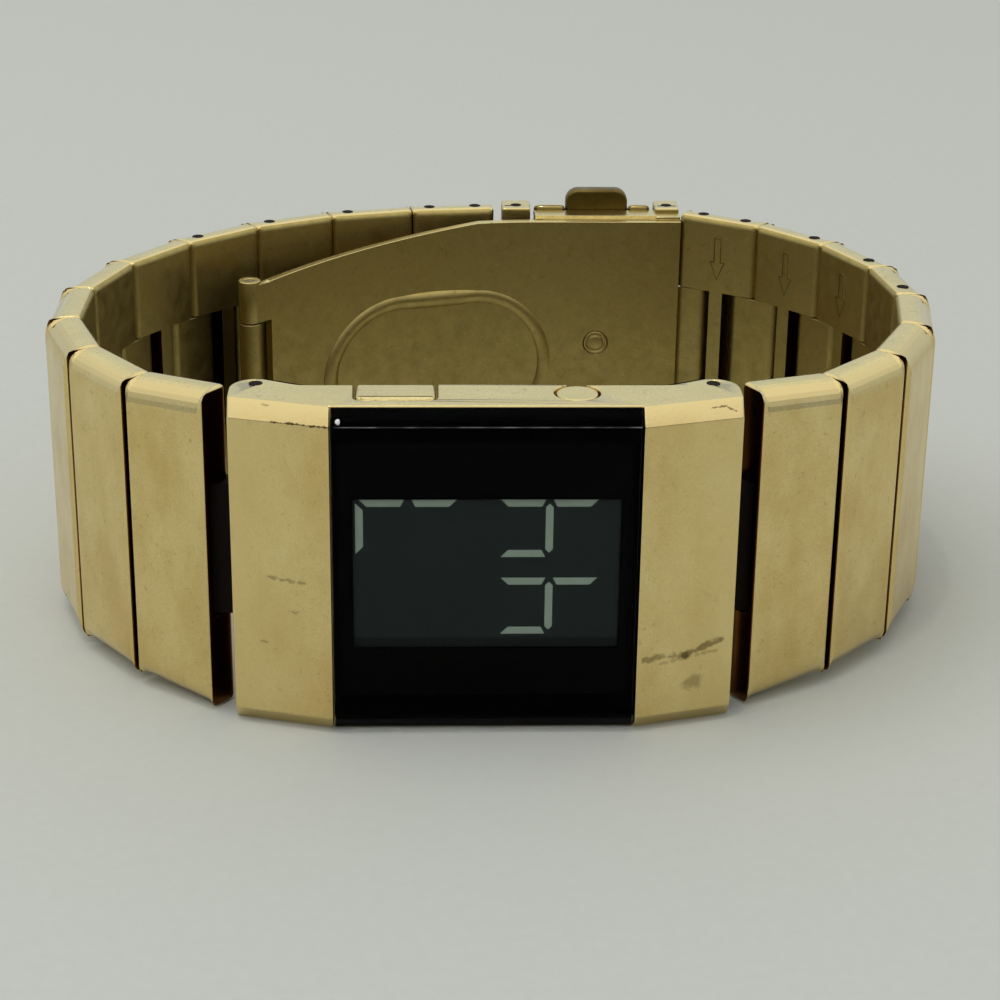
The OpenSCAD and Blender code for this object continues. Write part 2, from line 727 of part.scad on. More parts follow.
module clasp_hinge_pin() {
  l = middle_knuckle / 2 + outer_knuckle + 0.05;
  placed(steel) in_clasp() at_hinge() translate([0, 0, -l]) cylinder(r = hinge_pin_radius, h = 2 * l);
}

module catch_stud() {
  placed(inner_gold) in_clasp() translate([button_u, 0, 0]) rotate([90, 0, 0]) difference() {
    union() {
      translate([0, 0, 0.75]) cylinder(r = stud_head, h = 0.7);
      translate([0, 0, 1.4]) cylinder(r = stud_neck, h = inner_blade_depth - 1.3);
      translate([0, 0, inner_blade_depth]) cylinder(r = 1.02, h = blade_thick + 0.03);
    }
    translate([0, 0, inner_blade_depth + blade_thick - 0.07]) difference() {
      cylinder(r = 0.8, h = 1);
      cylinder(r = 0.62, h = 3, center = true);
    }
  }
}

// Cover over the latch, with a channel that both buttons slide in.
module latch_cover() {
  w = button_length / 2 + 0.07;
  placed(gold) in_clasp() {
    difference() {
      intersection() {
        translate([0, -pin_depth, 0]) band_piece(cover_near, cover_far, band_height, 0);
        block([cover_near - 1, -cover_thick, -20], [cover_far + 1, 1, 20]);
      }
      block([button_u - w, -cover_thick - 1, -20], [button_u + w, -0.5, 20]);
    }
    for (s = [0, 1]) mirror([0, 0, s])
      block([button_u - 0.8, -1.35, spring_seat - 0.6], [button_u + 0.8, -0.48, spring_seat]);
  }
}

// Rounded thumb piece with a side arm that ends beside the catch stud.
module button() {
  l = button_length / 2;
  tip = band_height / 2 + button_proud;
  r = 1.1;
  edge = stud_head + 0.15;
  translate([0, -0.55, 0]) rotate([90, 0, 0]) linear_extrude(cover_thick - 0.6) union() {
    translate([-l, button_base]) square([2 * l, tip - r - button_base]);
    translate([-l + r, button_base]) square([2 * l - 2 * r, tip - button_base]);
    for (s = [-1, 1]) translate([s * (l - r), tip - r]) circle(r);
  }
  block([-l + 0.05, -cover_thick + 0.05, -edge - 1.1], [-1.9, -1.5, 9]);
  block([-l + 0.05, -cover_thick + 0.05, -edge - 1.1], [0.9, -1.5, -edge]);
}

module upper_button() {
  placed(inner_gold) in_clasp() translate([button_u, 0, 0]) button();
}

module lower_button() {
  placed(inner_gold) in_clasp() translate([button_u, 0, 0]) rotate([0, 180, 0]) button();
}

module latch_springs() {
  placed(steel) in_clasp() for (s = [0, 1]) mirror([0, 0, s])
    translate([button_u, -0.97, spring_seat]) coil(0.2, 0.45, button_spring, 6);
}

case();
lens();
lens_gasket();
display_mask();
lcd_panel();
lcd_digits();
circuit_board();
battery();
battery_clip();
case_back();
case_back_screws();
mode_pusher();
set_pusher();
pusher_springs();
left_connector(1);  // left_connector_1
left_connector(2);  // left_connector_2
left_connector(3);  // left_connector_3
left_connector(4);  // left_connector_4
left_connector(5);  // left_connector_5
left_connector(6);  // left_connector_6
left_connector(7);  // left_connector_7
left_connector(8);  // left_connector_8
left_connector(9);  // left_connector_9
left_connector(10);  // left_connector_10
left_end_connector();
left_link(1);  // left_link_1
left_link(2);  // left_link_2
left_link(3);  // left_link_3
left_link(4);  // left_link_4
left_link(5);  // left_link_5
left_link(6);  // left_link_6
left_link(7);  // left_link_7
left_link(8);  // left_link_8
left_link(9);  // left_link_9
left_link(10);  // left_link_10
right_connector(1);  // right_connector_1
right_connector(2);  // right_connector_2
right_connector(3);  // right_connector_3
right_connector(4);  // right_connector_4
right_connector(5);  // right_connector_5
right_connector(6);  // right_connector_6
right_connector(7);  // right_connector_7
right_connector(8);  // right_connector_8
right_end_connector();
right_link(1);  // right_link_1
right_link(2);  // right_link_2
right_link(3);  // right_link_3
right_link(4);  // right_link_4
right_link(5);  // right_link_5
right_link(6);  // right_link_6
right_link(7);  // right_link_7
right_link(8);  // right_link_8
outer_blade();
inner_blade();
clasp_hinge_pin();
catch_stud();
latch_cover();
upper_button();
lower_button();
latch_springs();
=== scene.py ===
"""Finishes and small detail for a digital bracelet watch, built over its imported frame.

Lengths are metres in the frame's axes: X along the case, Y from the lens to the clasp, Z across the band.
"""

import json
import math

import bmesh
import bpy
from mathutils import Matrix, Vector

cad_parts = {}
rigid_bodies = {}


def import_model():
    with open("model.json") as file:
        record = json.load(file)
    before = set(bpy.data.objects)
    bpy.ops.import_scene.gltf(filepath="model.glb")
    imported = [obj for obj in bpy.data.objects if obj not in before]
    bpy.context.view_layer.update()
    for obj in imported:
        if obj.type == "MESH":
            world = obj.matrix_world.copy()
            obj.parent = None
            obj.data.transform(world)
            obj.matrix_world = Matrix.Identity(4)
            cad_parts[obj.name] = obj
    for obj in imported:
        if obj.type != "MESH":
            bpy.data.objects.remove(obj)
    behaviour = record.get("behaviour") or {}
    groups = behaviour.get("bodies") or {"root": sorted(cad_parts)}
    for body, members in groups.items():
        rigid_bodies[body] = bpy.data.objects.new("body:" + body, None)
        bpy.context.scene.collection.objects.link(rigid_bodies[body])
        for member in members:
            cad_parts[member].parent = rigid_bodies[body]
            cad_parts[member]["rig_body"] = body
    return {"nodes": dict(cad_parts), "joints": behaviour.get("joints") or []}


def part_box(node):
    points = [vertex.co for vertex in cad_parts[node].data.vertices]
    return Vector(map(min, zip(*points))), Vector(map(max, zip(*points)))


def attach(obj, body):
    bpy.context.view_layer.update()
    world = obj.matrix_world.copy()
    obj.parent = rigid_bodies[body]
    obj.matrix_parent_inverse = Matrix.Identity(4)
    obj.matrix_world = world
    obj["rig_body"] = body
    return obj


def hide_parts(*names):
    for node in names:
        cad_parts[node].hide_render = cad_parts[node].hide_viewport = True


bl_info = {
    "name": "Digital Bracelet Watch",
    "version": (1, 0, 0),
    "blender": (4, 5, 0),
    "location": "View3D > Sidebar > Watch",
    "description": "Finishes a gold-plated digital watch and its folding link bracelet",
    "category": "Object",
}

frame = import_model()
MM = 0.001
UP = Vector((0, 0, 1))
IMAGE_SIZE = 1000
SENSOR = 36.0
# The part of its 0 to 1 range that a noise really fills.
NOISE_SPAN = (0.3, 0.7)
COLOUR_MIX = {"out": 2, "data_type": "RGBA"}

lens_low, lens_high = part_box("lens")
case_low, case_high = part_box("case")
# The foot of the lens front is where the photograph's camera was measured from.
LENS_FOOT = Vector(((lens_low.x + lens_high.x) / 2, lens_low.y, case_low.z))
LINKS = [n for n in frame["nodes"] if "_link_" in n]
CONNECTORS = [n for n in frame["nodes"] if "_connector" in n]
PINS = {j["name"]: Vector(j["pos_m"]) for j in frame["joints"] if j["type"] == "hinge"}
HEAD_PINS = [PINS[side + "_connector_1_pivot"] for side in ("left", "right")]


def linear(hex_colour):
    """Linear RGB of an sRGB hex value."""
    parts = [int(hex_colour[i : i + 2], 16) / 255 for i in (1, 3, 5)]
    return tuple(c / 12.92 if c <= 0.04045 else ((c + 0.055) / 1.055) ** 2.4 for c in parts)


# Sizes and colours that a user would change


def colour_setting(name, description, hex_colour):
    return bpy.props.FloatVectorProperty(
        name=name, description=description, subtype="COLOR", size=3, min=0, max=1, default=linear(hex_colour)
    )


def length_setting(name, description, millimetres):
    return bpy.props.FloatProperty(
        name=name, description=description, unit="LENGTH", precision=5, min=0, default=millimetres * MM
    )


def share_setting(name, description, share):
    return bpy.props.FloatProperty(name=name, description=description, min=0, max=1, default=share)


class WatchPlating(bpy.types.PropertyGroup):
    """Gold plating of the case, the links and the clasp."""

    gold: colour_setting("Gold", "Reflection colour of clean plating", "#E6D092")
    warm_gold: colour_setting("Warm gold", "Reflection colour where the plating has dulled", "#D6BA78")
    # Inner gold is darker than the gold as painted shade of the band's inside.
    shaded_inner_gold: colour_setting("Shaded inner gold", "Reflection colour of the blasted inner faces", "#BBA766")
    # Lapped gold is paler than the gold as a painted reflection of the bright room on the tops.
    top_reflection_gold: colour_setting("Top reflection gold", "Reflection colour of the flat tops", "#EBD99A")
    # The tarnish colour is mostly painted shade: the buttons' dark reflection of the watch's shaded inside,
    # with a browned tone.
    browned_shade: colour_setting("Browned shade", "Colour of the browned plating on the clasp buttons", "#7E6C38")
    # Soot is painted shade for the faces in the gaps, with a painted red-brown reflection.
    gap_shade: colour_setting("Gap shade", "Colour of the faces in the gaps", "#7A4E24")
    grime: colour_setting("Grime", "Colour of dirt in scratches and stains", "#3A2A12")
    edge_radius: length_setting("Edge radius", "Soft radius worn on the outer edges", 0.13)
    inner_radius: length_setting("Inner radius", "Soft radius on clasp and connector edges", 0.07)
    cover_radius: length_setting("Cover radius", "Radius of the latch cover's edges", 0.3)
    face_roughness: share_setting("Face roughness", "Roughness of the outer faces", 0.2)
    edge_roughness: share_setting("Edge roughness", "Roughness of the polished edges", 0.11)


class WatchLinks(bpy.types.PropertyGroup):
    """Shape of the solid outer links."""

    roll: length_setting("Rolled edge", "Radius of the long outer edges", 1.85)
    end: length_setting("End edge", "Radius of the outer edges where two links meet", 0.42)
    corner: length_setting("Top edge", "Radius of the edges across the top and bottom", 0.3)
    inner: length_setting("Inner edge", "Radius round the inner face", 0.55)
    pocket: length_setting("Pocket", "Height of the pockets for the connectors", 10.1)
    crossbar: length_setting("Crossbar", "Width of the bar between the two pockets", 1.2)
    outer_plate: length_setting("Outer plate", "Thickness left over a connector", 0.75)
    bore: length_setting("Bore", "Radius of the bores for the pins", 0.5)
    cover: length_setting("Bore cover", "Thickness left over a bore that is closed at the top", 1.3)
    gap_cover: length_setting("Gap cover", "How far the last right link leans over the gap", 0.22)
    connector_reach: length_setting("Connector reach", "How far the last connector is led to its bar", 0.23)
    pin_end: length_setting("Pin end", "Radius of the pin ends that show on top", 0.46)
    arrow_line: length_setting("Arrow line", "Radius of the cut line of the pin arrows", 0.1)
    arrow_drop: length_setting("Arrow drop", "Distance of an arrow's middle from the link's top", 3.4)
    open_links: bpy.props.IntProperty(
        name="Open links",
        description="Last links of each side whose pins drive out at the top",
        min=1,
        default=4,
    )
    arrows: bpy.props.StringProperty(
        name="Arrows",
        description="Links that carry a pin arrow on their inner face",
        default="right_link_6 right_link_7 right_link_8",
    )


class WatchDisplay(bpy.types.PropertyGroup):
    """Lens, mask and display cell. Places are measured from the foot of the lens front."""

    cell: colour_setting("Cell", "Colour of the unlit display cell", "#2A312F")
    segment: colour_setting("Segment", "Colour of the lit segments", "#B1C1AE")
    mask: colour_setting("Mask", "Colour of the print round the window", "#020303")
    tint: colour_setting("Lens tint", "Colour that the lens gives what lies behind it", "#F0F2F2")
    window_left: length_setting("Window left", "Distance of the window's left edge from the middle", 9.04)
    window_right: length_setting("Window right", "Distance of the window's right edge from the middle", 9.23)
    window_foot: length_setting("Window foot", "Height of the window's lower edge", 6.05)
    window_top: length_setting("Window top", "Height of the window's upper edge", 17.25)
    # This height ends the painted shadow of the mask's edge along the window's foot.
    window_shadow: length_setting("Window shadow", "Height of the cell's darker sealed edge", 6.8)
    digit_height: length_setting("Digit height", "Height of a digit, which lies along the case", 7.15)
    digit_width: length_setting("Digit width", "Width of a digit, across the case", 4.25)
    bar: length_setting("Segment bar", "Width of one segment", 0.52)
    bar_gap: length_setting("Segment gap", "Gap between neighbouring segments", 0.26)


class WatchDetail(bpy.types.PropertyGroup):
    """Sizes of the wound, turned and pressed detail."""

    bead: length_setting("Recess bead", "Radius of the pressed bead round the blade's recess", 0.9)
    bead_depth: length_setting("Bead depth", "How deep the middle of the bead lies in the blade", 0.76)
    recess_drop: length_setting("Recess drop", "How far the recess lies below the blade's middle", 1.7)
    recess_gap: length_setting("Recess gap", "Distance of the recess from the hinge pin", 6.0)
    recess_length: length_setting("Recess length", "Length of the recess along the blade", 18.6)
    recess_height: length_setting("Recess height", "Height of the recess across the blade", 12.2)
    shoulder: length_setting("Shoulder", "Length of the curve from a pin boss down to the case back", 3.4)
    spring_wire: length_setting("Spring wire", "Radius of the wire of the springs", 0.07)
    latch_spring: length_setting("Latch spring", "Length of a latch spring", 1.7)
    screw_radius: length_setting("Screw radius", "Radius of the case back screws' heads", 0.76)
    screw_head: length_setting("Screw head", "Height of the case back screws' heads", 0.4)
    screw_slot: length_setting("Screw slot", "Width of the slots in the case back screws", 0.24)


class WatchStage(bpy.types.PropertyGroup):
    """Floor, lamps and camera."""

    floor: colour_setting("Floor", "Colour of the matt board under the watch", "#C3C5BC")
    backdrop: colour_setting("Backdrop", "Colour of the room that metal and glass reflect", "#C9D2D9")
    focal_pixels: bpy.props.FloatProperty(
        name="Focal length", description="Focal length in pixels of the square picture", min=1, default=2454
    )
    camera_place: bpy.props.FloatVectorProperty(
        name="Camera place",
        description="Camera place from the foot of the lens front",
        subtype="TRANSLATION",
        unit="LENGTH",
        size=3,
        default=(-4.55 * MM, -151.83 * MM, 81.39 * MM),
    )
    camera_turn: bpy.props.FloatVectorProperty(
        name="Camera turn",
        description="Pitch below the horizon, yaw to the right and roll",
        subtype="EULER",
        unit="ROTATION",
        size=3,
        default=(math.radians(22.75), math.radians(2.06), math.radians(-0.71)),
    )


# Surface patterns


def add_node(tree, kind, *inputs, out=0, named=None, **settings):
    """Adds a node and gives one of its outputs.

    inputs are numbers or sockets in the node's own order, None for one that stays as it is;
    named holds those that are called by name or number.
    """
    node = tree.nodes.new(kind)
    for name, setting in settings.items():
        setattr(node, name, setting)
    for key, source in (dict(enumerate(inputs)) | (named or {})).items():
        if isinstance(source, bpy.types.NodeSocket):
            tree.links.new(source, node.inputs[key])
        elif source is not None:
            node.inputs[key].default_value = source
    return node.outputs[out] if len(node.outputs) else node


def new_material(name, colour, roughness, metallic=0.0, specular=None):
    """A material, its node tree and its Principled shader, with the plain numbers set on the shader."""
    material = bpy.data.materials.new(name)
    material.use_nodes = True
    tree = material.node_tree
    shader = tree.nodes["Principled BSDF"]
    shader.inputs["Base Color"].default_value = (*colour, 1)
    shader.inputs["Roughness"].default_value = roughness
    shader.inputs["Metallic"].default_value = metallic
    if specular is not None:
        shader.inputs["Specular IOR Level"].default_value = specular
    return material, tree, shader


def grain(tree, size, stretch=(1, 1, 1), detail=2.0, roughness=0.5):
    """Noise on Object coordinates whose lumps are about size metres across."""
    coords = add_node(tree, "ShaderNodeTexCoord", out="Object")
    scaled = add_node(tree, "ShaderNodeMapping", coords, named={"Scale": [s / size for s in stretch]})
    values = {"Scale": 1.0, "Detail": detail, "Roughness": roughness}
    return add_node(tree, "ShaderNodeTexNoise", scaled, named=values)


def mottled(name, first, second, dullness, size, span=None, specular=None, base=None, **noise):
    """A material that drifts from one colour to another in lumps of a size; noise holds grain's settings."""
    material, tree, shader = new_material(name, base or first, dullness, specular=specular)
    field = grain(tree, size, **noise)
    if span:
        field = add_node(tree, "ShaderNodeMapRange", field, *span, 0, 1)
    shade = add_node(tree, "ShaderNodeMix", named={0: field, 6: (*first, 1), 7: (*second, 1)}, **COLOUR_MIX)
    tree.links.new(shade, shader.inputs["Base Color"])
    return material, tree, shader


def drift_gloss(tree, shader, field, low, high):
    """Lets the roughness drift between two numbers with a noise."""
    gloss = add_node(tree, "ShaderNodeMapRange", field, *NOISE_SPAN, low, high)
    tree.links.new(gloss, shader.inputs["Roughness"])


def emboss(tree, shader, height, strength, depth):
    """Raises a noise as fine relief on the surface."""
    raised = add_node(
        tree, "ShaderNodeBump", named={"Strength": strength, "Distance": depth, "Height": height}
    )
    tree.links.new(raised, shader.inputs["Normal"])


def stroke(tree, start, end, width):
    """1 along a scratch from start to end and 0 beside it, with a ragged edge."""
    along = end - start
    ragged = 0.8 * width
    coords = add_node(tree, "ShaderNodeTexCoord", out="Object")
    offset = add_node(tree, "ShaderNodeVectorMath", coords, start, operation="SUBTRACT")
    reach = add_node(tree, "ShaderNodeVectorMath", offset, along, out="Value", operation="DOT_PRODUCT")
    place = add_node(tree, "ShaderNodeMath", reach, along.length_squared, operation="DIVIDE", use_clamp=True)
    nearest = add_node(tree, "ShaderNodeVectorMath", along, named={"Scale": place}, operation="SCALE")
    gap = add_node(tree, "ShaderNodeVectorMath", offset, nearest, out="Value", operation="DISTANCE")
    noise = grain(tree, width * 2.5, detail=3.0)
    shift = add_node(tree, "ShaderNodeMapRange", noise, *NOISE_SPAN, -ragged, ragged)
    edge = add_node(tree, "ShaderNodeMath", gap, shift, operation="ADD")
    return add_node(tree, "ShaderNodeMapRange", edge, width * 0.35, width, 1.0, 0.0)


# Materials


def gold_plate(name, tone, shade, roughness, lump, streak=(1, 1, 1), relief=0.0, polish=None, marks=()):
    """Gold-plated steel: a metal whose colour and gloss drift softly where the plating has worn."""
    material, tree, shader = new_material(name, tone, roughness, metallic=1.0)
    cloud = grain(tree, lump, streak, detail=3.0, roughness=0.6)
    drift = add_node(tree, "ShaderNodeMapRange", cloud, *NOISE_SPAN, 0, 1)
    colour = add_node(tree, "ShaderNodeMix", named={0: drift, 6: (*tone, 1), 7: (*shade, 1)}, **COLOUR_MIX)
    # Fine tooth of the plating, and scattered darker specks where it is thin.
    tooth = add_node(tree, "ShaderNodeMapRange", grain(tree, 0.13 * MM, detail=1.0), *NOISE_SPAN, 0.93, 1.07)
    thin = grain(tree, 0.5 * MM, detail=4.0, roughness=0.7)
    specks = add_node(tree, "ShaderNodeMapRange", thin, 0.6, 0.72, 1.0, 0.72)
    for fleck in (tooth, specks):
        colour = add_node(tree, "ShaderNodeVectorMath", colour, named={"Scale": fleck}, operation="SCALE")
    gloss = add_node(tree, "ShaderNodeMapRange", cloud, *NOISE_SPAN, roughness * 0.85, roughness * 1.2)
    if polish is not None:
        # The polish attribute grows from 0 on the flats to 1 over the rolled edges.
        worn = add_node(tree, "ShaderNodeAttribute", out="Fac", attribute_name="polish")
        colour = add_node(tree, "ShaderNodeMix", named={0: worn, 6: colour, 7: (*tone, 1)}, **COLOUR_MIX)
        gloss = add_node(tree, "ShaderNodeMix", worn, None, gloss, polish)
    grime = (*bpy.context.scene.watch_plating.grime, 1)
    for start, end, width, strength in marks:
        mark = add_node(tree, "ShaderNodeMapRange", stroke(tree, start, end, width), 0, 1, 0, strength)
        colour = add_node(tree, "ShaderNodeMix", named={0: mark, 6: colour, 7: grime}, **COLOUR_MIX)
    tree.links.new(colour, shader.inputs["Base Color"])
    tree.links.new(gloss, shader.inputs["Roughness"])
    if relief:
        emboss(tree, shader, grain(tree, 0.35 * MM, detail=4.0), relief, 0.02 * MM)
    return material


def rubbed_plate(name, marks=()):
    """Outer faces rubbed dull by wear, which keep their polish on the rolled edges."""
    look = bpy.context.scene.watch_plating
    drift = {"lump": 3.2 * MM, "streak": (1, 1, 0.55), "relief": 0.2}
    return gold_plate(
        name, look.gold, look.warm_gold, look.face_roughness, polish=look.edge_roughness, marks=marks, **drift
    )


def plating(state):
    """The gold plate in one of its surface states, which are made together the first time."""
    name = state + " gold plate"
    if name in bpy.data.materials:
        return bpy.data.materials[name]
    look = bpy.context.scene.watch_plating
    rubbed_plate("rubbed gold plate")
    states = (
        # Top and bottom faces, lapped flat: even, slightly milky gloss, their colour paled as a painted
        # reflection of the bright room.
        ("lapped_reflection", look.top_reflection_gold, 0.9, 0.26, 2.0, (0.4, 1, 1), 0.15),
        # Inner faces blasted with fine beads: an even satin that scatters light, its colour darkened as
        # painted shade of the band's inside.
        ("blasted_shaded", look.shaded_inner_gold, 0.84, 0.4, 1.2, (1, 1, 1), 0.3),
        # Buttons and cut lines, never polished: a brown tone darkened as painted shade, on the buttons a
        # painted dark reflection of the watch's shaded inside.
        ("browned_shaded", look.browned_shade, 0.6, 0.4, 1.5, (1, 1, 1), 0.3),
        # Faces in the gaps: painted shade, dark with a painted red-brown reflection.
        ("gap_shaded", look.gap_shade, 0.45, 0.24, 1.1, (1, 1, 0.2), 0.2),
    )
    for label, tone, dulling, roughness, lump, streak, relief in states:
        shade = tuple(c * dulling for c in tone)
        gold_plate(label + " gold plate", tone, shade, roughness, lump * MM, streak, relief)
    return bpy.data.materials[name]


def painted_shade_black():
    """Near-black matt brown: painted shade for faces deep in the gaps and at the pin ends. Made once."""
    if "painted shade black" in bpy.data.materials:
        return bpy.data.materials["painted shade black"]
    dark, light, plain = linear("#0B0705"), linear("#20160E"), linear("#140D08")
    return mottled("painted shade black", dark, light, 0.85, 0.2 * MM, specular=0.2, base=plain, detail=3.0)[0]


def brushed_steel(name, hex_colour, roughness, streak=(0.08, 1, 1)):
    """Stainless steel with fine brush lines along X."""
    material, tree, shader = new_material(name, linear(hex_colour), roughness, metallic=1.0)
    lines = grain(tree, 0.09 * MM, streak, detail=3.0)
    drift_gloss(tree, shader, lines, roughness * 0.8, roughness * 1.3)
    emboss(tree, shader, lines, 0.2, 0.01 * MM)
    return material


# Meshes and the frame's nodes


def place(name, data):
    """An object at the origin that shows the data."""
    placed = bpy.data.objects.new(name, data)
    bpy.context.scene.collection.objects.link(placed)
    return placed


def point_piece(name, points, edges=()):
    """An object whose vertices, and edges if any, a tree works from."""
    mesh = bpy.data.meshes.new(name)
    mesh.from_pydata(points, edges, [])
    return place(name, mesh)


def worked_piece(name, work, material=None):
    """An object made from finished bmesh work."""
    piece = point_piece(name, [])
    work.to_mesh(piece.data)
    work.free()
    if material:
        piece.data.materials.append(material)
    return piece


def ring_corners(work, low, high, depth):
    """The corners of an upright rectangle at a depth."""
    corners = ((low.x, low.z), (high.x, low.z), (high.x, high.z), (low.x, high.z))
    return [work.verts.new((x, depth, z)) for x, z in corners]


def join_rings(work, first, second):
    """The faces between two rings of as many corners."""
    for i in range(len(first)):
        j = (i + 1) % len(first)
        work.faces.new((first[i], first[j], second[j], second[i]))


def settle(piece):
    """Applies the modifiers, so that the piece is a plain mesh."""
    graph = bpy.context.evaluated_depsgraph_get()
    mesh = bpy.data.meshes.new_from_object(piece.evaluated_get(graph), depsgraph=graph)
    piece.modifiers.clear()
    piece.data = mesh
    return piece


def clean_mesh(mesh, join=0.002 * MM, flat=0.6):
    """Joins doubled corners and makes flat faces whole."""
    work = bmesh.new()
    work.from_mesh(mesh)
    bmesh.ops.remove_doubles(work, verts=work.verts, dist=join)
    if flat:
        bmesh.ops.dissolve_limit(work, angle_limit=math.radians(flat), verts=work.verts, edges=work.edges)
    work.to_mesh(mesh)
    work.free()


def merged_copy(node, added=None):
    """A closed copy of a frame node, or of the node joined with an added shape."""
    mesh = frame["nodes"][node].data.copy()
    mesh.name = node + "_finish"
    mesh.materials.clear()
    clean_mesh(mesh, flat=0)
    piece = place(node + "_finish", mesh)
    if added:
        joined = piece.modifiers.new("Joined shape", "BOOLEAN")
        joined.operation = "UNION"
        joined.object = added
        settle(piece)
    # The joined shape's top has holes in it, which a single face can't have.
    clean_mesh(piece.data, flat=0 if added else 0.6)
    return piece


def round_edges(piece, name, radius, segments):
    """A bevel that gives each edge its weight's share of the radius."""
    bevel = piece.modifiers.new(name, "BEVEL")
    bevel.width = radius
    bevel.segments = segments
    bevel.limit_method = "WEIGHT"
    bevel.use_clamp_overlap = False


def soften(piece, radius, segments=2, bores=(), bore_reach=0.7 * MM, sharp_angle=28):
    """Rounds the sharp edges, all but those of the pin bores at the given places."""
    work = bmesh.new()
    work.from_mesh(piece.data)
    weight = work.edges.layers.float.new("bevel_weight_edge")
    for edge in work.edges:
        middle = (edge.verts[0].co + edge.verts[1].co) / 2
        spared = any((middle - bore).xy.length < bore_reach for bore in bores)
        sharp = len(edge.link_faces) == 2 and edge.calc_face_angle(0) > math.radians(sharp_angle)
        edge[weight] = float(sharp and not spared)
    work.to_mesh(piece.data)
    work.free()
    round_edges(piece, "Worn edges", radius, segments)
    settle(piece)


def shade_flats(piece, angle=50):
    """Smooth shading that keeps the flats flat and leaves the edges above the angle crisp."""
    piece.data.shade_smooth()
    piece.data.set_sharp_from_angle(angle=math.radians(angle))
    weighted = piece.modifiers.new("Flat faces", "WEIGHTED_NORMAL")
    weighted.weight = 60
    weighted.keep_sharp = True
    settle(piece)
    piece.data.validate()


def carry(piece, node):
    """The piece rides where a frame node rides."""
    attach(piece, frame["nodes"][node]["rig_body"])


def stand_for(piece, node):
    """The piece replaces its frame node and rides where the node rides."""
    carry(piece, node)
    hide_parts(node)


def dress(node, material, radius):
    """Stands a soft-edged copy of a node, all of one finish, in the node's place."""
    piece = merged_copy(node)
    if radius:
        soften(piece, radius)
    shade_flats(piece)
    piece.data.materials.clear()
    piece.data.materials.append(material)
    stand_for(piece, node)
    return piece


# Geometry node trees


SOCKET_KINDS = {float: "Float", int: "Int", tuple: "Vector", type(None): "Material"}


def new_tree(name, inputs):
    """A geometry tree and its inputs, each named with its default, or with None for a material."""
    tree = bpy.data.node_groups.new(name, "GeometryNodeTree")
    tree.is_modifier = True
    tree.interface.new_socket("Geometry", in_out="INPUT", socket_type="NodeSocketGeometry")
    for label, default in inputs.items():
        kind = "NodeSocket" + SOCKET_KINDS[type(default)]
        socket = tree.interface.new_socket(label, in_out="INPUT", socket_type=kind)
        if default is not None:
            socket.default_value = default
    tree.interface.new_socket("Geometry", in_out="OUTPUT", socket_type="NodeSocketGeometry")
    return tree, tree.nodes.new("NodeGroupInput").outputs


def close_tree(tree, geometry, material):
    """Ends a tree with realized geometry of one material."""
    real = add_node(tree, "GeometryNodeRealizeInstances", geometry)
    done = add_node(tree, "GeometryNodeSetMaterial", real, None, material)
    add_node(tree, "NodeGroupOutput", done)
    return tree


def run_tree(piece, tree, values):
    """Runs a tree on a piece with its inputs set by their identifiers."""
    modifier = piece.modifiers.new(tree.name, "NODES")
    modifier.node_group = tree
    sockets = {i.name: i.identifier for i in tree.interface.items_tree if i.in_out == "INPUT"}
    for label, value in values.items():
        modifier[sockets[label]] = value
    return piece


def facing_tree():
    """Gives the faces of a plated piece their finishes by the way they look."""
    if "Plated faces" in bpy.data.node_groups:
        return bpy.data.node_groups["Plated faces"]
    limits = {"Flat Limit": 0.99, "Inner Limit": 0.6, "Top Limit": 0.95, "End Limit": 0.9}
    finishes = dict.fromkeys(("Face Finish", "End Finish", "Top Finish", "Inner Finish"))
    tree, given = new_tree("Plated faces", {"Outward": (0.0, -1.0, 0.0)} | limits | finishes)
    normal = add_node(tree, "GeometryNodeInputNormal")
    facing = add_node(
        tree, "ShaderNodeVectorMath", normal, given["Outward"], out="Value", operation="DOT_PRODUCT"
    )
    behind = add_node(tree, "ShaderNodeMath", facing, -1, operation="MULTIPLY")
    axes = add_node(tree, "ShaderNodeSeparateXYZ", normal).node.outputs
    upright = add_node(tree, "ShaderNodeMath", axes["Z"], operation="ABSOLUTE")
    endwise = add_node(tree, "ShaderNodeMath", axes["X"], operation="ABSOLUTE")
    # The polish reaches its full 1 where a face has turned about 40 degrees away.
    polish = add_node(tree, "ShaderNodeMapRange", facing, given["Flat Limit"], 0.75, 0, 1)
    shape = add_node(
        tree,
        "GeometryNodeStoreNamedAttribute",
        given["Geometry"],
        named={"Name": "polish", "Value": polish},
        data_type="FLOAT",
        domain="POINT",
    )
    shape = add_node(tree, "GeometryNodeSetMaterial", shape, None, given["Face Finish"])
    for measure, side in ((upright, "Top"), (endwise, "End"), (behind, "Inner")):
        limit, finish = given[side + " Limit"], given[side + " Finish"]
        picked = add_node(
            tree, "FunctionNodeCompare", measure, limit, data_type="FLOAT", operation="GREATER_THAN"
        )
        shape = add_node(tree, "GeometryNodeSetMaterial", shape, picked, finish)
    add_node(tree, "NodeGroupOutput", shape)
    return tree


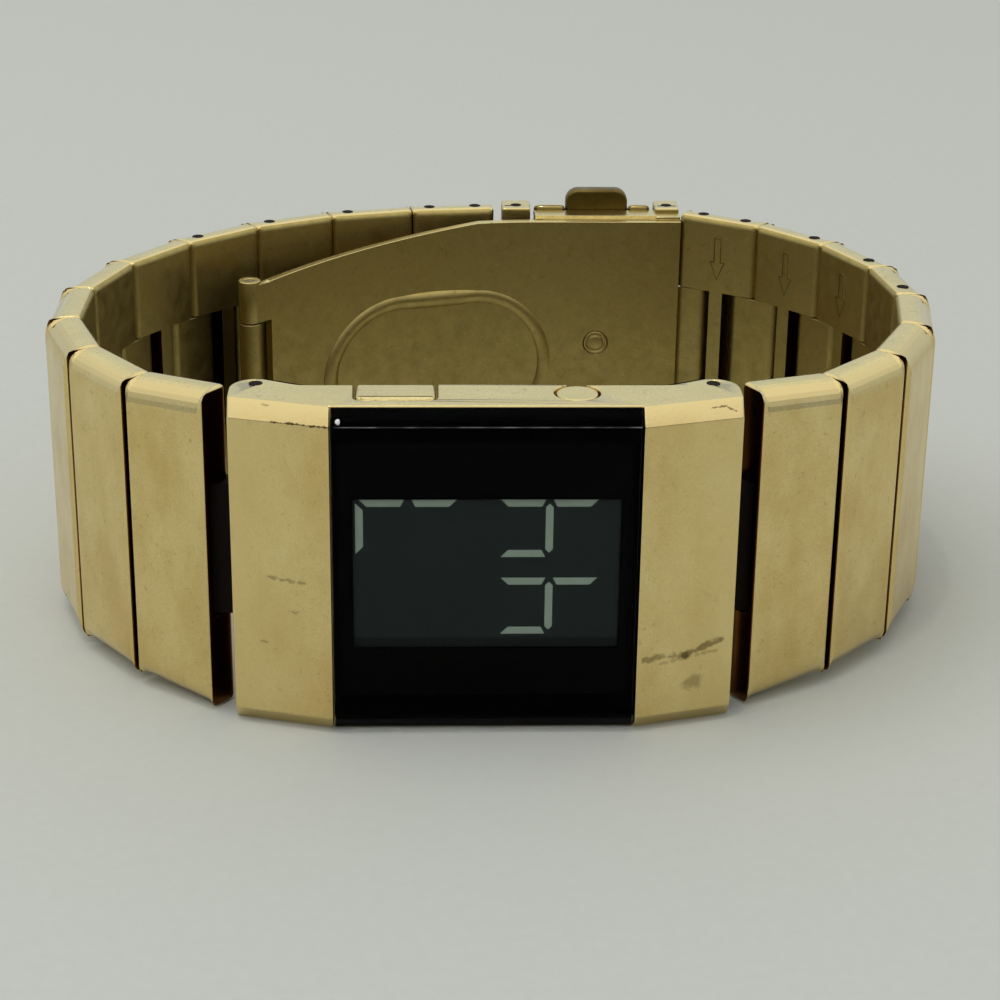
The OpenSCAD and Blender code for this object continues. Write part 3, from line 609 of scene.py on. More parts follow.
def link_blank_tree():
    """A link's tapered block. Each edge keeps its share of the bevel that follows."""
    sides = {"Near End": -1.56 * MM, "Far End": 5.46 * MM, "Inner Side": -1.11 * MM, "Outer Side": 1.75 * MM}
    heights = {"Near Height": 22.8 * MM, "Far Height": 22.8 * MM}
    shares = {"End Share": 0.2, "Corner Share": 0.15, "Inner Share": 0.3}
    tree, given = new_tree("Link blank", sides | heights | shares)
    cube = add_node(tree, "GeometryNodeMeshCube", (1, 1, 1))
    position = add_node(tree, "GeometryNodeInputPosition")
    axes = add_node(tree, "ShaderNodeSeparateXYZ", position).node.outputs
    endwise = add_node(tree, "ShaderNodeMath", axes["X"], operation="ABSOLUTE")
    outer, at_end, inside = [
        add_node(tree, "FunctionNodeCompare", measure, limit, data_type="FLOAT", operation=operation)
        for measure, limit, operation in (
            (axes["Y"], 0.25, "GREATER_THAN"),
            (endwise, 0.25, "GREATER_THAN"),
            (axes["Y"], -0.25, "LESS_THAN"),
        )
    ]
    # The long outer edges take the whole bevel.
    rolled = add_node(tree, "GeometryNodeSwitch", at_end, 1.0, given["End Share"], input_type="FLOAT")
    share = add_node(tree, "GeometryNodeSwitch", outer, given["Corner Share"], rolled, input_type="FLOAT")
    share = add_node(tree, "GeometryNodeSwitch", inside, share, given["Inner Share"], input_type="FLOAT")
    marked = add_node(
        tree,
        "GeometryNodeStoreNamedAttribute",
        cube,
        named={"Name": "bevel_weight_edge", "Value": share},
        data_type="FLOAT",
        domain="EDGE",
    )
    along, across, height = [
        add_node(tree, "ShaderNodeMapRange", axes[axis], -0.5, 0.5, given[low], given[high])
        for axis, low, high in (
            ("X", "Near End", "Far End"),
            ("Y", "Inner Side", "Outer Side"),
            ("X", "Near Height", "Far Height"),
        )
    ]
    lift = add_node(tree, "ShaderNodeMath", axes["Z"], height, operation="MULTIPLY")
    corner = add_node(tree, "ShaderNodeCombineXYZ", along, across, lift)
    moved = add_node(tree, "GeometryNodeSetPosition", marked, named={"Position": corner})
    add_node(tree, "NodeGroupOutput", moved)
    return tree


def link_cuts_tree():
    """Cuts a link's two connector pockets and its two pin bores."""
    reach = 10 * MM
    pockets = {"Pocket Floor": 1.0 * MM, "Pocket Height": 10.1 * MM, "Crossbar": 1.2 * MM}
    bores = {"Bore Radius": 0.5 * MM, "Near Bore Top": 12 * MM, "Far Bore Top": 12 * MM}
    tree, given = new_tree("Link pockets and bores", {"Pin Spacing": 3.9 * MM} | pockets | bores)
    middle = add_node(tree, "ShaderNodeMath", given["Pin Spacing"], 0.5, operation="MULTIPLY")
    half_bar = add_node(tree, "ShaderNodeMath", given["Crossbar"], 0.5, operation="MULTIPLY")
    offset = add_node(tree, "ShaderNodeMath", half_bar, reach / 2, operation="ADD")
    depth = add_node(tree, "ShaderNodeMath", given["Pocket Floor"], reach / 2, operation="SUBTRACT")
    size = add_node(tree, "ShaderNodeCombineXYZ", reach, reach, given["Pocket Height"])
    block = add_node(tree, "GeometryNodeMeshCube", size)
    drill = add_node(
        tree,
        "GeometryNodeMeshCylinder",
        named={"Vertices": 24, "Depth": 4 * reach, "Radius": given["Bore Radius"]},
    )
    cutters = []
    for side in ("SUBTRACT", "ADD"):
        centre = add_node(tree, "ShaderNodeMath", middle, offset, operation=side)
        cutters.append((block, add_node(tree, "ShaderNodeCombineXYZ", centre, depth)))
    for name, across in (("Near Bore Top", None), ("Far Bore Top", given["Pin Spacing"])):
        drop = add_node(tree, "ShaderNodeMath", given[name], 2 * reach, operation="SUBTRACT")
        cutters.append((drill, add_node(tree, "ShaderNodeCombineXYZ", across, None, drop)))
    cut = given["Geometry"]
    for shape, centre in cutters:
        tool = add_node(tree, "GeometryNodeTransform", shape, named={"Translation": centre})
        cut = add_node(tree, "GeometryNodeMeshBoolean", cut, tool, operation="DIFFERENCE")
    add_node(tree, "NodeGroupOutput", cut)
    return tree


def bead_tree():
    """A round bead pressed along a path."""
    if "Pressed bead" in bpy.data.node_groups:
        return bpy.data.node_groups["Pressed bead"]
    tree, given = new_tree("Pressed bead", {"Bead Radius": 0.3 * MM, "Finish": None})
    path = add_node(tree, "GeometryNodeMeshToCurve", given["Geometry"])
    values = {"Resolution": 12, "Radius": given["Bead Radius"]}
    ring = add_node(tree, "GeometryNodeCurvePrimitiveCircle", named=values)
    bead = add_node(tree, "GeometryNodeCurveToMesh", path, ring)
    smooth = add_node(tree, "GeometryNodeSetShadeSmooth", bead)
    return close_tree(tree, smooth, given["Finish"])


def coil_tree():
    """A compression spring on each point, centred there and wound about Z."""
    sizes = {"Turns": 6.0, "Coil Radius": 0.33 * MM, "Wire Radius": 0.07 * MM, "Length": 1.6 * MM}
    tree, given = new_tree("Wound spring", sizes | {"Finish": None})
    turns = {
        "Resolution": 20,
        "Rotations": given["Turns"],
        "Start Radius": given["Coil Radius"],
        "End Radius": given["Coil Radius"],
        "Height": given["Length"],
    }
    helix = add_node(tree, "GeometryNodeCurveSpiral", named=turns)
    values = {"Resolution": 8, "Radius": given["Wire Radius"]}
    wire = add_node(tree, "GeometryNodeCurvePrimitiveCircle", named=values)
    coil = add_node(tree, "GeometryNodeCurveToMesh", helix, wire, named={"Fill Caps": True})
    half = add_node(tree, "ShaderNodeMath", given["Length"], -0.5, operation="MULTIPLY")
    drop = add_node(tree, "ShaderNodeCombineXYZ", None, None, half)
    centred = add_node(tree, "GeometryNodeTransform", coil, named={"Translation": drop})
    smooth = add_node(tree, "GeometryNodeSetShadeSmooth", centred)
    placed = add_node(tree, "GeometryNodeInstanceOnPoints", given["Geometry"], named={"Instance": smooth})
    return close_tree(tree, placed, given["Finish"])


def screw_tree():
    """A slotted screw head on each point, facing +Y, each slot at its own angle."""
    sizes = {"Head Radius": 0.76 * MM, "Head Height": 0.4 * MM, "Slot Width": 0.24 * MM}
    tree, given = new_tree("Slotted screws", sizes | {"Seed": 3, "Finish": None})
    values = {"Vertices": 40, "Radius": given["Head Radius"], "Depth": given["Head Height"]}
    head = add_node(tree, "GeometryNodeMeshCylinder", named=values)
    size = add_node(tree, "ShaderNodeCombineXYZ", 3 * MM, given["Slot Width"], 0.3 * MM)
    blade = add_node(tree, "GeometryNodeMeshCube", size)
    top = add_node(tree, "ShaderNodeMath", given["Head Height"], 0.5, operation="MULTIPLY")
    lift = add_node(tree, "ShaderNodeCombineXYZ", None, None, top)
    cutter = add_node(tree, "GeometryNodeTransform", blade, named={"Translation": lift})
    slotted = add_node(tree, "GeometryNodeMeshBoolean", head, cutter, operation="DIFFERENCE")
    values = {3: math.pi, "Seed": given["Seed"]}
    angle = add_node(tree, "FunctionNodeRandomValue", out=1, named=values, data_type="FLOAT")
    turn = add_node(tree, "ShaderNodeCombineXYZ", -math.pi / 2, angle)
    values = {"Instance": slotted, "Rotation": turn}
    placed = add_node(tree, "GeometryNodeInstanceOnPoints", given["Geometry"], named=values)
    return close_tree(tree, placed, given["Finish"])


# Plated pieces and links


def run_facing(piece, direction, flat_limit=0.99, face_finish=None):
    """Gives the piece's faces their plating."""
    values = {
        "Outward": direction,
        "Flat Limit": flat_limit,
        "Face Finish": face_finish or plating("rubbed"),
        # The top finish is paled as a painted reflection.
        "Top Finish": plating("lapped_reflection"),
        # The inner finish is darkened as painted shade.
        "Inner Finish": plating("blasted_shaded"),
        # The end finish is painted shade in the gaps.
        "End Finish": plating("gap_shaded"),
    }
    return run_tree(piece, facing_tree(), values)


def plate_piece(node, radius, facing=None, added=None, **finish):
    """Stands a soft-edged, plated copy of a node in its place, its faces rubbed and its edges polished."""
    piece = merged_copy(node, added)
    direction = facing or max(piece.data.polygons, key=lambda polygon: polygon.area).normal.copy()
    soften(piece, radius, bores=HEAD_PINS)
    run_facing(piece, direction, **finish)
    shade_flats(piece)
    stand_for(piece, node)
    return piece


def link_frame(node):
    """Matrix of a link's own axes: X from its near pin to its far pin, Y to its outer face, Z up."""
    side, number = node.split("_link_")
    beyond = f"{side}_connector_{int(number) + 1}_pivot"
    near = PINS[node + "_pivot"]
    far = PINS[beyond if beyond in PINS else side + "_end_connector_pivot"]
    along = (far - near).normalized()
    out = UP.cross(along) * (1 if side == "left" else -1)
    turned = Matrix((along, out, UP)).transposed().to_4x4()
    return Matrix.Translation(near) @ turned, (far - near).length


def link_sizes(node, local):
    """Ends, sides and heights of a link's frame solid in its own axes."""
    places = [local @ vertex.co for vertex in frame["nodes"][node].data.vertices]
    near, far = min(p.x for p in places), max(p.x for p in places)
    heights = [
        2 * max(abs(p.z) for p in places if abs(p.x - end) < 0.3 * MM and abs(p.y) < 0.4 * MM)
        for end in (near, far)
    ]
    return near, far, min(p.y for p in places), max(p.y for p in places), heights


def open_bores(node):
    """Whether the near and the far bore of a link run through to its top."""
    side, number = node.split("_link_")
    last = sum(n.startswith(side) for n in LINKS)
    return int(number) > last - bpy.context.scene.watch_links.open_links, int(number) == last


def forge_link(node, blank, cuts):
    """Builds a link with rolled outer edges over its frame solid."""
    shape = bpy.context.scene.watch_links
    matrix, spacing = link_frame(node)
    near, far, inner, outer, heights = link_sizes(node, matrix.inverted())
    bores = open_bores(node)
    leans = node.startswith("right") and bores[1]
    values = {
        "Near End": near,
        "Far End": far + (shape.gap_cover if leans else 0),
        "Inner Side": inner,
        "Outer Side": outer,
        "Near Height": heights[0],
        "Far Height": heights[1],
        "End Share": shape.end / shape.roll,
        "Corner Share": shape.corner / shape.roll,
        "Inner Share": shape.inner / shape.roll,
    }
    piece = run_tree(point_piece(node + "_finish", []), blank, values)
    round_edges(piece, "Rolled edges", shape.roll, 8)
    closed = min(heights) / 2 - shape.cover
    values = {
        "Pin Spacing": spacing,
        "Pocket Floor": outer - shape.outer_plate,
        "Pocket Height": shape.pocket,
        "Crossbar": shape.crossbar,
        "Bore Radius": shape.bore,
        "Near Bore Top": max(heights) if bores[0] else closed,
        "Far Bore Top": max(heights) if bores[1] else closed,
    }
    run_tree(piece, cuts, values)
    run_facing(piece, Vector((0, 1, 0)))
    shade_flats(piece, angle=34)
    piece.data.transform(matrix)
    if matrix.determinant() < 0:
        piece.data.flip_normals()
    stand_for(piece, node)
    if node in shape.arrows.split():
        cut_arrow(node, matrix, Vector(((near + far) / 2, inner, heights[1] / 2 - shape.arrow_drop)))
    for through, along in zip(bores, (0, spacing)):
        if through:
            show_pin(node, matrix @ Vector((along, 0, 0)))


def press_path(name, node, points, closed, radius, finish):
    """A bead along a path of points, riding with a node."""
    count = len(points)
    edges = [(i, (i + 1) % count) for i in range(count if closed else count - 1)]
    path = point_piece(name, points, edges)
    settle(run_tree(path, bead_tree(), {"Bead Radius": radius, "Finish": finish}))
    carry(path, node)


def cut_arrow(node, matrix, centre):
    """Cuts the outline arrow that shows which way a link's pin is driven out."""
    line = bpy.context.scene.watch_links.arrow_line
    outline = [(-0.3, 1.8), (0.3, 1.8), (0.3, -0.3), (0.65, -0.3), (0, -1.8), (-0.65, -0.3), (-0.3, -0.3)]
    depth = Vector((0, 0.5 * line, 0))
    points = [matrix @ (centre + depth + Vector((x, 0, z)) * MM) for x, z in outline]
    # The cut line is darkened as painted shade.
    press_path(node + "_arrow", node, points, True, line, plating("browned_shaded"))


def show_pin(node, centre):
    """The end of a pin, level with a piece's top, near-black as painted shade of its bore."""
    radius = bpy.context.scene.watch_links.pin_end
    length, proud = 0.6 * MM, 0.01 * MM
    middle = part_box(node)[1].z - length / 2 + proud
    size = {"segments": 36, "radius1": radius, "radius2": radius, "depth": length}
    work = bmesh.new()
    stand = Matrix.Translation((centre.x, centre.y, middle))
    bmesh.ops.create_cone(work, cap_ends=True, matrix=stand, **size)
    pin = worked_piece(node + "_pin_end", work, painted_shade_black())
    shade_flats(pin, angle=30)
    carry(pin, node)


def segment_outlines(height, width, bar, gap):
    """Outlines of a seven-segment digit's bars: distances down from its top and across from its right."""
    middle, half = height / 2, bar / 2
    right = {
        "b": [(gap, 0), (middle - gap, 0), (middle - gap - half, bar), (bar + gap, bar)],
        "c": [(middle + gap, 0), (height - gap, 0), (height - bar - gap, bar), (middle + gap + half, bar)],
    }
    twins = (("f", "b"), ("e", "c"))
    left = {name: [(down, width - across) for down, across in right[twin]] for name, twin in twins}
    top = [(0, gap), (0, width - gap), (bar, width - bar - gap), (bar, bar + gap)]
    tip, shoulder = gap + 0.1 * bar, gap + 0.6 * bar
    bridge = [
        (middle, tip),
        (middle - half, shoulder),
        (middle - half, width - shoulder),
        (middle, width - tip),
        (middle + half, width - shoulder),
        (middle + half, shoulder),
    ]
    return right | left | {"a": top, "d": [(height - down, across) for down, across in top], "g": bridge}


# One operator for each piece or group


class WATCH_OT_plate_case(bpy.types.Operator):
    """Plate the case: rubbed side panels, polished bevels, lapped top paled as a painted reflection"""

    bl_idname = "watch.plate_case"
    bl_label = "Plate Case"

    def execute(self, context):
        # The head's own plating: rubbed like the links', with its scratches and a stain.
        scratched = rubbed_plate("scratched gold plate", marks=self.place_marks())
        shoulders = self.curve_shoulders(context.scene.watch_detail.shoulder)
        # The panels slope a little, and the flat limit still counts them as flat.
        finish = {"flat_limit": 0.93, "face_finish": scratched}
        radius = context.scene.watch_plating.edge_radius
        plate_piece("case", radius, Vector((0, -1, 0)), shoulders, **finish)
        bpy.data.objects.remove(shoulders)
        for pin in HEAD_PINS:
            show_pin("case", pin)
        return {"FINISHED"}

    def place_marks(self):
        """Ends, width and strength of the head's scratches, from the foot of the lens front."""
        marks = (
            ((-14.38, 1.13, 22.88), (-10.55, 0.01, 22.88), 0.1, 0.9),
            ((11.1, 0.17, 5.58), (13.96, 1.0, 5.54), 0.26, 0.5),
            ((13.96, 1.0, 5.54), (16.6, 1.77, 6.32), 0.3, 0.6),
            ((12.2, 0.4, 5.1), (16.2, 1.6, 5.6), 0.16, 0.3),
            ((14.1, 1.1, 3.4), (14.8, 1.2, 3.2), 0.5, 0.4),
            ((15.14, 1.91, 23.55), (16.05, 2.2, 23.59), 0.08, 0.7),
            ((16.05, 2.2, 23.59), (16.8, 2.14, 23.25), 0.08, 0.7),
            ((-14.9, 1.3, 11.5), (-12.4, 0.6, 11.3), 0.16, 0.4),
            ((-13.4, 0.8, 9.05), (-12.9, 0.7, 9.0), 0.16, 0.35),
            ((-15.39, 1.42, 6.61), (-15.1, 1.35, 6.5), 0.14, 0.4),
            ((-14.98, 2.05, 23.79), (-14.5, 1.9, 23.75), 0.1, 0.4),
        )
        return [
            (LENS_FOOT + Vector(start) * MM, LENS_FOOT + Vector(end) * MM, width * MM, strength)
            for start, end, width, strength in marks
        ]

    def curve_shoulders(self, length):
        """Four blocks that run in a soft curve from the pin bosses down to the case back."""
        steps = 12
        play, sink, depth = 0.1 * MM, 0.2 * MM, 0.5 * MM
        pocket = bpy.context.scene.watch_links.pocket / 2 + play
        middle = (case_low.z + case_high.z) / 2
        boss = HEAD_PINS[1].x
        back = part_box("case_back")[1].y - sink
        curve = [(boss - length * i / steps, math.cos(math.pi * i / steps)) for i in range(steps + 1)]
        outline = [(x, back + (case_high.y - back) * (1 + c) / 2) for x, c in curve]
        outline += [(boss - length, back - depth), (boss, back - depth)]
        work = bmesh.new()
        for mirror in (1, -1):
            for low, high in ((case_low.z, middle - pocket), (middle + pocket, case_high.z)):
                # Made corner by corner, because an extrusion leaves them in an order of chance.
                placed = [(LENS_FOOT.x + mirror * (x - LENS_FOOT.x), y) for x, y in outline]
                foot, top = [[work.verts.new((x, y, z)) for x, y in placed] for z in (low, high)]
                work.faces.new(foot)
                join_rings(work, foot, top)
                work.faces.new(top)
        bmesh.ops.recalc_face_normals(work, faces=work.faces)
        return worked_piece("case_shoulders", work)


class WATCH_OT_plate_links(bpy.types.Operator):
    """Plate the outer links of both sides of the bracelet"""

    bl_idname = "watch.plate_links"
    bl_label = "Plate Links"

    def execute(self, context):
        blank, cuts = link_blank_tree(), link_cuts_tree()
        for node in LINKS:
            forge_link(node, blank, cuts)
        return {"FINISHED"}


class WATCH_OT_join_links(bpy.types.Operator):
    """Finish the connectors and the pins that the links swing on"""

    bl_idname = "watch.join_links"
    bl_label = "Finish Connectors"

    def execute(self, context):
        for node in CONNECTORS:
            # The first connectors, deep in the gaps beside the head, are painted near-black as shade.
            finish = painted_shade_black() if node.endswith("_connector_1") else plating("blasted_shaded")
            dress(node, finish, context.scene.watch_plating.inner_radius)
        self.reach_clasp(context.scene.watch_links.connector_reach)
        return {"FINISHED"}

    def reach_clasp(self, reach):
        """Leads the last connector's cut end up to the clasp's end bar."""
        mesh = bpy.data.objects["right_end_connector_finish"].data
        low = min(vertex.co.x for vertex in mesh.vertices)
        for vertex in mesh.vertices:
            if vertex.co.x < low + 0.3 * MM:
                vertex.co.x -= reach
        mesh.update()


class WATCH_OT_finish_clasp(bpy.types.Operator):
    """Finish the folding clasp: blades, cover, stud, hinge pin and the bead round the recess"""

    bl_idname = "watch.finish_clasp"
    bl_label = "Finish Clasp"

    def execute(self, context):
        look, detail = context.scene.watch_plating, context.scene.watch_detail
        # The blades and the stud take the blasted plate, darkened as painted shade.
        outer, _, blade = [
            dress(node, plating("blasted_shaded"), look.inner_radius)
            for node in ("outer_blade", "catch_stud", "inner_blade")
        ]
        # The blades' top and bottom faces take the lapped plate, paled as a painted reflection.
        for piece in (blade, outer):
            piece.data.materials.append(plating("lapped_reflection"))
            for polygon in piece.data.polygons:
                if abs(polygon.normal.z) > 0.9:
                    polygon.material_index = 1
        self.lower_recess(detail, blade)
        self.cap_bars()
        self.press_bead(detail, blade)
        plate_piece("latch_cover", look.cover_radius)
        dress("clasp_hinge_pin", brushed_steel("turned hinge steel", "#B9B6AE", 0.25), 0)
        return {"FINISHED"}

    def cap_bars(self):
        """Rounded blocks over the tapered ends of the two end bars, with the pins' ends in them."""
        pivot = PINS["clasp_pivot"]
        depth, sink, edge = 2.7 * MM, 0.25 * MM, 0.22 * MM
        far_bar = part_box("inner_blade")[1].x - 1.04 * MM
        for node, x, half, tall in (
            ("outer_blade", pivot.x - 0.1 * MM, 1.2 * MM, 3.0 * MM),
            ("inner_blade", far_bar, 1.02 * MM, 1.1 * MM),
        ):
            low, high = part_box(node)
            size = Matrix.Diagonal((2 * half, depth, tall, 1))
            for z in (low.z + tall / 2, high.z - tall / 2):
                work = bmesh.new()
                middle = Matrix.Translation((x, pivot.y + sink, z))
                bmesh.ops.create_cube(work, size=1, matrix=middle @ size)
                block = worked_piece(node + "_bar_end", work)
                soften(block, edge, segments=4)
                run_facing(block, Vector((0, 1, 0)))
                shade_flats(block, angle=40)
                carry(block, node)
            show_pin(node, Vector((x, pivot.y, 0)))

    def lower_recess(self, detail, blade):
        """Slides the oval recess down the blade, whose face is straight along Z."""
        pin = sum(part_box("clasp_hinge_pin"), Vector()) / 2
        margin = 0.3 * MM
        low = pin.x + detail.recess_gap - margin
        high = pin.x + detail.recess_gap + detail.recess_length + margin
        for vertex in blade.data.vertices:
            if low < vertex.co.x < high and abs(vertex.co.z - pin.z) < detail.recess_height / 2 + margin:
                vertex.co.z -= detail.recess_drop
        blade.data.update()

    def press_bead(self, detail, blade):
        """Presses the raised rim of the oval recess into the blade's inner face."""
        pin = sum(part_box("clasp_hinge_pin"), Vector()) / 2 - Vector((0, 0, detail.recess_drop))
        radius = detail.recess_height / 2
        start = pin.x + detail.recess_gap + radius
        end = pin.x + detail.recess_gap + detail.recess_length - radius
        rim = []
        for centre, first in ((end, -90), (start, 90)):
            turns = [math.radians(first + 5 * i) for i in range(37)]
            rim += [(centre + radius * math.cos(t), pin.z + radius * math.sin(t)) for t in turns]
        # The face is the same at every height, so its depth is read above the recess.
        above = pin.z + radius + detail.recess_drop
        points = []
        for x, z in rim:
            found, met, *_ = blade.ray_cast(Vector((x, pin.y - 30 * MM, above)), Vector((0, 1, 0)))
            if not found:
                raise RuntimeError("the recess bead runs off the inner blade")
            points.append(Vector((x, met.y + detail.bead_depth, z)))
        press_path("recess_bead", "inner_blade", points, True, detail.bead, plating("blasted_shaded"))


class WATCH_OT_finish_buttons(bpy.types.Operator):
    """Finish the two case pushers and the two clasp buttons"""

    bl_idname = "watch.finish_buttons"
    bl_label = "Finish Buttons"

    def execute(self, context):
        radius = context.scene.watch_plating.edge_radius
        # The pushers take the lapped plate, paled as a painted reflection.
        dress("mode_pusher", plating("lapped_reflection"), 2 * radius)
        dress("set_pusher", plating("lapped_reflection"), radius)
        # The clasp buttons are darkened as painted shade, their dark reflection of the watch's shaded inside.
        for node in ("upper_button", "lower_button"):
            dress(node, plating("browned_shaded"), 2 * radius)
        return {"FINISHED"}


class WATCH_OT_glaze_lens(bpy.types.Operator):
    """Glaze the front: mineral glass and its gasket"""

    bl_idname = "watch.glaze_lens"
    bl_label = "Glaze Lens"

    def execute(self, context):
        # Mineral glass with a coating that kills almost all of its reflection, hence the low index.
        glass, tree, shader = new_material("coated mineral glass", context.scene.watch_display.tint, 0.02)
        # Wiping has left the coating a little uneven.
        drift_gloss(tree, shader, grain(tree, 5 * MM, detail=3.0), 0.01, 0.05)
        shader.inputs["Transmission Weight"].default_value = 1.0
        shader.inputs["IOR"].default_value = 1.08
        pane = dress("lens", glass, 0.06 * MM)
        self.print_border(pane)
        self.grind_arris_highlight()
        self.chip_glint_corner()
        # Moulded nitrile rubber: matt black with a faint moulding grain.
        rubber, tree, shader = new_material("moulded nitrile rubber", linear("#0B0B0C"), 0.75)
        emboss(tree, shader, grain(tree, 0.1 * MM), 0.3, 0.02 * MM)
        dress("lens_gasket", rubber, 0)
        return {"FINISHED"}

    def print_border(self, pane):
        """Black print on the lens's sides and round the back of it, outside the display's mask."""
        printed, tree, shader = new_material("fired black glass print", linear("#020303"), 0.5, specular=0.0)
        drift_gloss(tree, shader, grain(tree, 0.4 * MM), 0.4, 0.6)
        pane.data.materials.append(printed)
        for polygon in pane.data.polygons:
            if abs(polygon.normal.y) < 0.3:
                polygon.material_index = 1
        mask_low, mask_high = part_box("display_mask")
        inset = Vector((0.3, 0, 0.3)) * MM
        edge = Vector((0.05, 0, 0.05)) * MM
        depth = lens_high.y + 0.01 * MM
        work = bmesh.new()
        outer = ring_corners(work, lens_low + edge, lens_high - edge, depth)
        inner = ring_corners(work, mask_low + inset, mask_high - inset, depth)
        join_rings(work, outer, inner)
        carry(worked_piece("lens_border", work, printed), "lens")

    def grind_arris_highlight(self):
        """The ground line between the lens's front and its upper bevel, whose pale grey is partly a painted
        highlight of the edge.
        """
        # Ground glass: white where the grit has broken the surface, grey where it was missed; the pale
        # patches also stand as a painted highlight along the edge.
        missed, broken_highlight, plain = linear("#050506"), linear("#75767C"), linear("#A9AAB0")
        patches = {"span": (0.45, 0.7), "stretch": (1, 0.1, 0.1), "detail": 3.0}
        ground = mottled("ground glass arris highlight", missed, broken_highlight, 0.5, 1.4 * MM, base=plain, **patches)[0]
        depth = lens_low.y + 0.03 * MM
        level = case_high.z - 1.13 * MM
        ends = [(lens_low.x + 0.25 * MM, depth, level), (lens_high.x - 0.1 * MM, depth, level)]
        press_path("lens_arris", "lens", ends, False, 0.035 * MM, ground)

    def chip_glint_corner(self):
        """The chip at the left end of the lens's upper bevel, its near-white a painted glint."""
        # Fresh conchoidal chip, near-white as a painted glint of light on the lens's corner.
        glint_flake, tree, shader = new_material("chipped glass glint", linear("#F4F4F8"), 0.15)
        drift_gloss(tree, shader, grain(tree, 0.2 * MM), 0.08, 0.3)
        corner = Vector((lens_low.x + 0.5 * MM, lens_low.y + 0.24 * MM, case_high.z - 0.82 * MM))
        work = bmesh.new()
        bmesh.ops.create_icosphere(work, subdivisions=3, radius=0.17 * MM)
        for vertex in work.verts:
            vertex.co.z *= 1.3 + 0.25 * math.sin(9000 * vertex.co.x)
            vertex.co.y *= 0.6
            vertex.co += corner
        carry(worked_piece("lens_chip_glint", work, glint_flake), "lens")


class WATCH_OT_fit_display(bpy.types.Operator):
    """Fit the display: printed mask, liquid crystal cell and its lit segments"""

    bl_idname = "watch.fit_display"
    bl_label = "Fit Display"

    def execute(self, context):
        look = context.scene.watch_display
        # Screen-printed black on the mask: flat and almost without gloss.
        print_shades = (look.mask, linear("#010202"))
        self.print_mask(look, mottled("screen-printed black", *print_shades, 0.6, 0.3 * MM, specular=0.0)[0])
        # Polariser over the cell: dark green-grey film with a fine even tooth.
        dim_cell = tuple(c * 0.82 for c in look.cell)
        film, tree, shader = mottled("polariser film", look.cell, dim_cell, 0.5, 6 * MM, specular=0.1)
        # Painted shadow of the mask's edge: the cell is darker along the bottom of the window.
        coords = add_node(tree, "ShaderNodeTexCoord", out="Object")
        height = add_node(tree, "ShaderNodeSeparateXYZ", coords, out="Z")
        foot, blur = LENS_FOOT.z + look.window_shadow, 0.1 * MM
        dark = add_node(tree, "ShaderNodeMapRange", height, foot - blur, foot + blur, 0.45, 1.0)
        shade = shader.inputs["Base Color"].links[0].from_socket
        shadowed = add_node(tree, "ShaderNodeVectorMath", shade, named={"Scale": dark}, operation="SCALE")
        tree.links.new(shadowed, shader.inputs["Base Color"])
        dress("lcd_panel", film, 0)
        # Segments of a cell that lights its digits: pale grey, a little cloudy.
        dim_segment = tuple(c * 0.75 for c in look.segment)
        shades = (look.segment, dim_segment)
        self.lay_segments(look, mottled("liquid crystal segment", *shades, 0.55, 1.2 * MM, specular=0.1)[0])
        return {"FINISHED"}

    def print_mask(self, look, printed):
        """The mask plate with its window."""
        low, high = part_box("display_mask")
        window_low = LENS_FOOT + Vector((-look.window_left, 0, look.window_foot))
        window_high = LENS_FOOT + Vector((look.window_right, 0, look.window_top))
        work = bmesh.new()
        front, front_hole, back, back_hole = [
            ring_corners(work, a, b, depth)
            for depth in (low.y, high.y)
            for a, b in ((low, high), (window_low, window_high))
        ]
        rings = (front, front_hole, back_hole, back, front)
        for first, second in zip(rings, rings[1:]):
            join_rings(work, first, second)
        bmesh.ops.recalc_face_normals(work, faces=work.faces)
        stand_for(worked_piece("display_mask_finish", work, printed), "display_mask")

    def lay_segments(self, look, crystal):
        """Lays the lit segments on the cell: a 7 beside two 4s, with their tops towards the left."""
        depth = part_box("lcd_panel")[0].y - 0.02 * MM
        shapes = segment_outlines(look.digit_height, look.digit_width, look.bar, look.bar_gap)
        digits = (("abc", -8.86, 17.14), ("bcfg", 0.78, 17.14), ("bcfg", 0.82, 11.32))
        work = bmesh.new()
        for lit, top, right in digits:
            for name in lit:
                corners = [(top * MM + down, right * MM - across) for down, across in shapes[name]]
                places = [LENS_FOOT + Vector((x, 0, z)) for x, z in corners]
                work.faces.new([work.verts.new((p.x, depth, p.z)) for p in places])
        bmesh.ops.recalc_face_normals(work, faces=work.faces)
        segments = worked_piece("lcd_digits_finish", work, crystal)
        film = segments.modifiers.new("Film thickness", "SOLIDIFY")
        film.thickness = 0.015 * MM
        stand_for(settle(segments), "lcd_digits")


class WATCH_OT_fit_movement(bpy.types.Operator):
    """Fit the movement: circuit board, battery and its clip"""

    bl_idname = "watch.fit_movement"
    bl_label = "Fit Movement"

    def execute(self, context):
        # Glass-epoxy board under green solder mask: semi-gloss, with the copper showing through darker.
        green, tracks = linear("#1E5A36"), {"size": 0.8 * MM, "span": (0.47, 0.53), "detail": 0.0}
        board = mottled("solder-masked glass epoxy", green, linear("#123B25"), 0.35, **tracks)[0]
        dress("circuit_board", board, 0.06 * MM)
        dress("battery", brushed_steel("nickel-plated battery can", "#C4C2BC", 0.28), 0.1 * MM)
        dress("battery_clip", brushed_steel("phosphor bronze strip", "#C9A878", 0.32), 0.03 * MM)
        return {"FINISHED"}


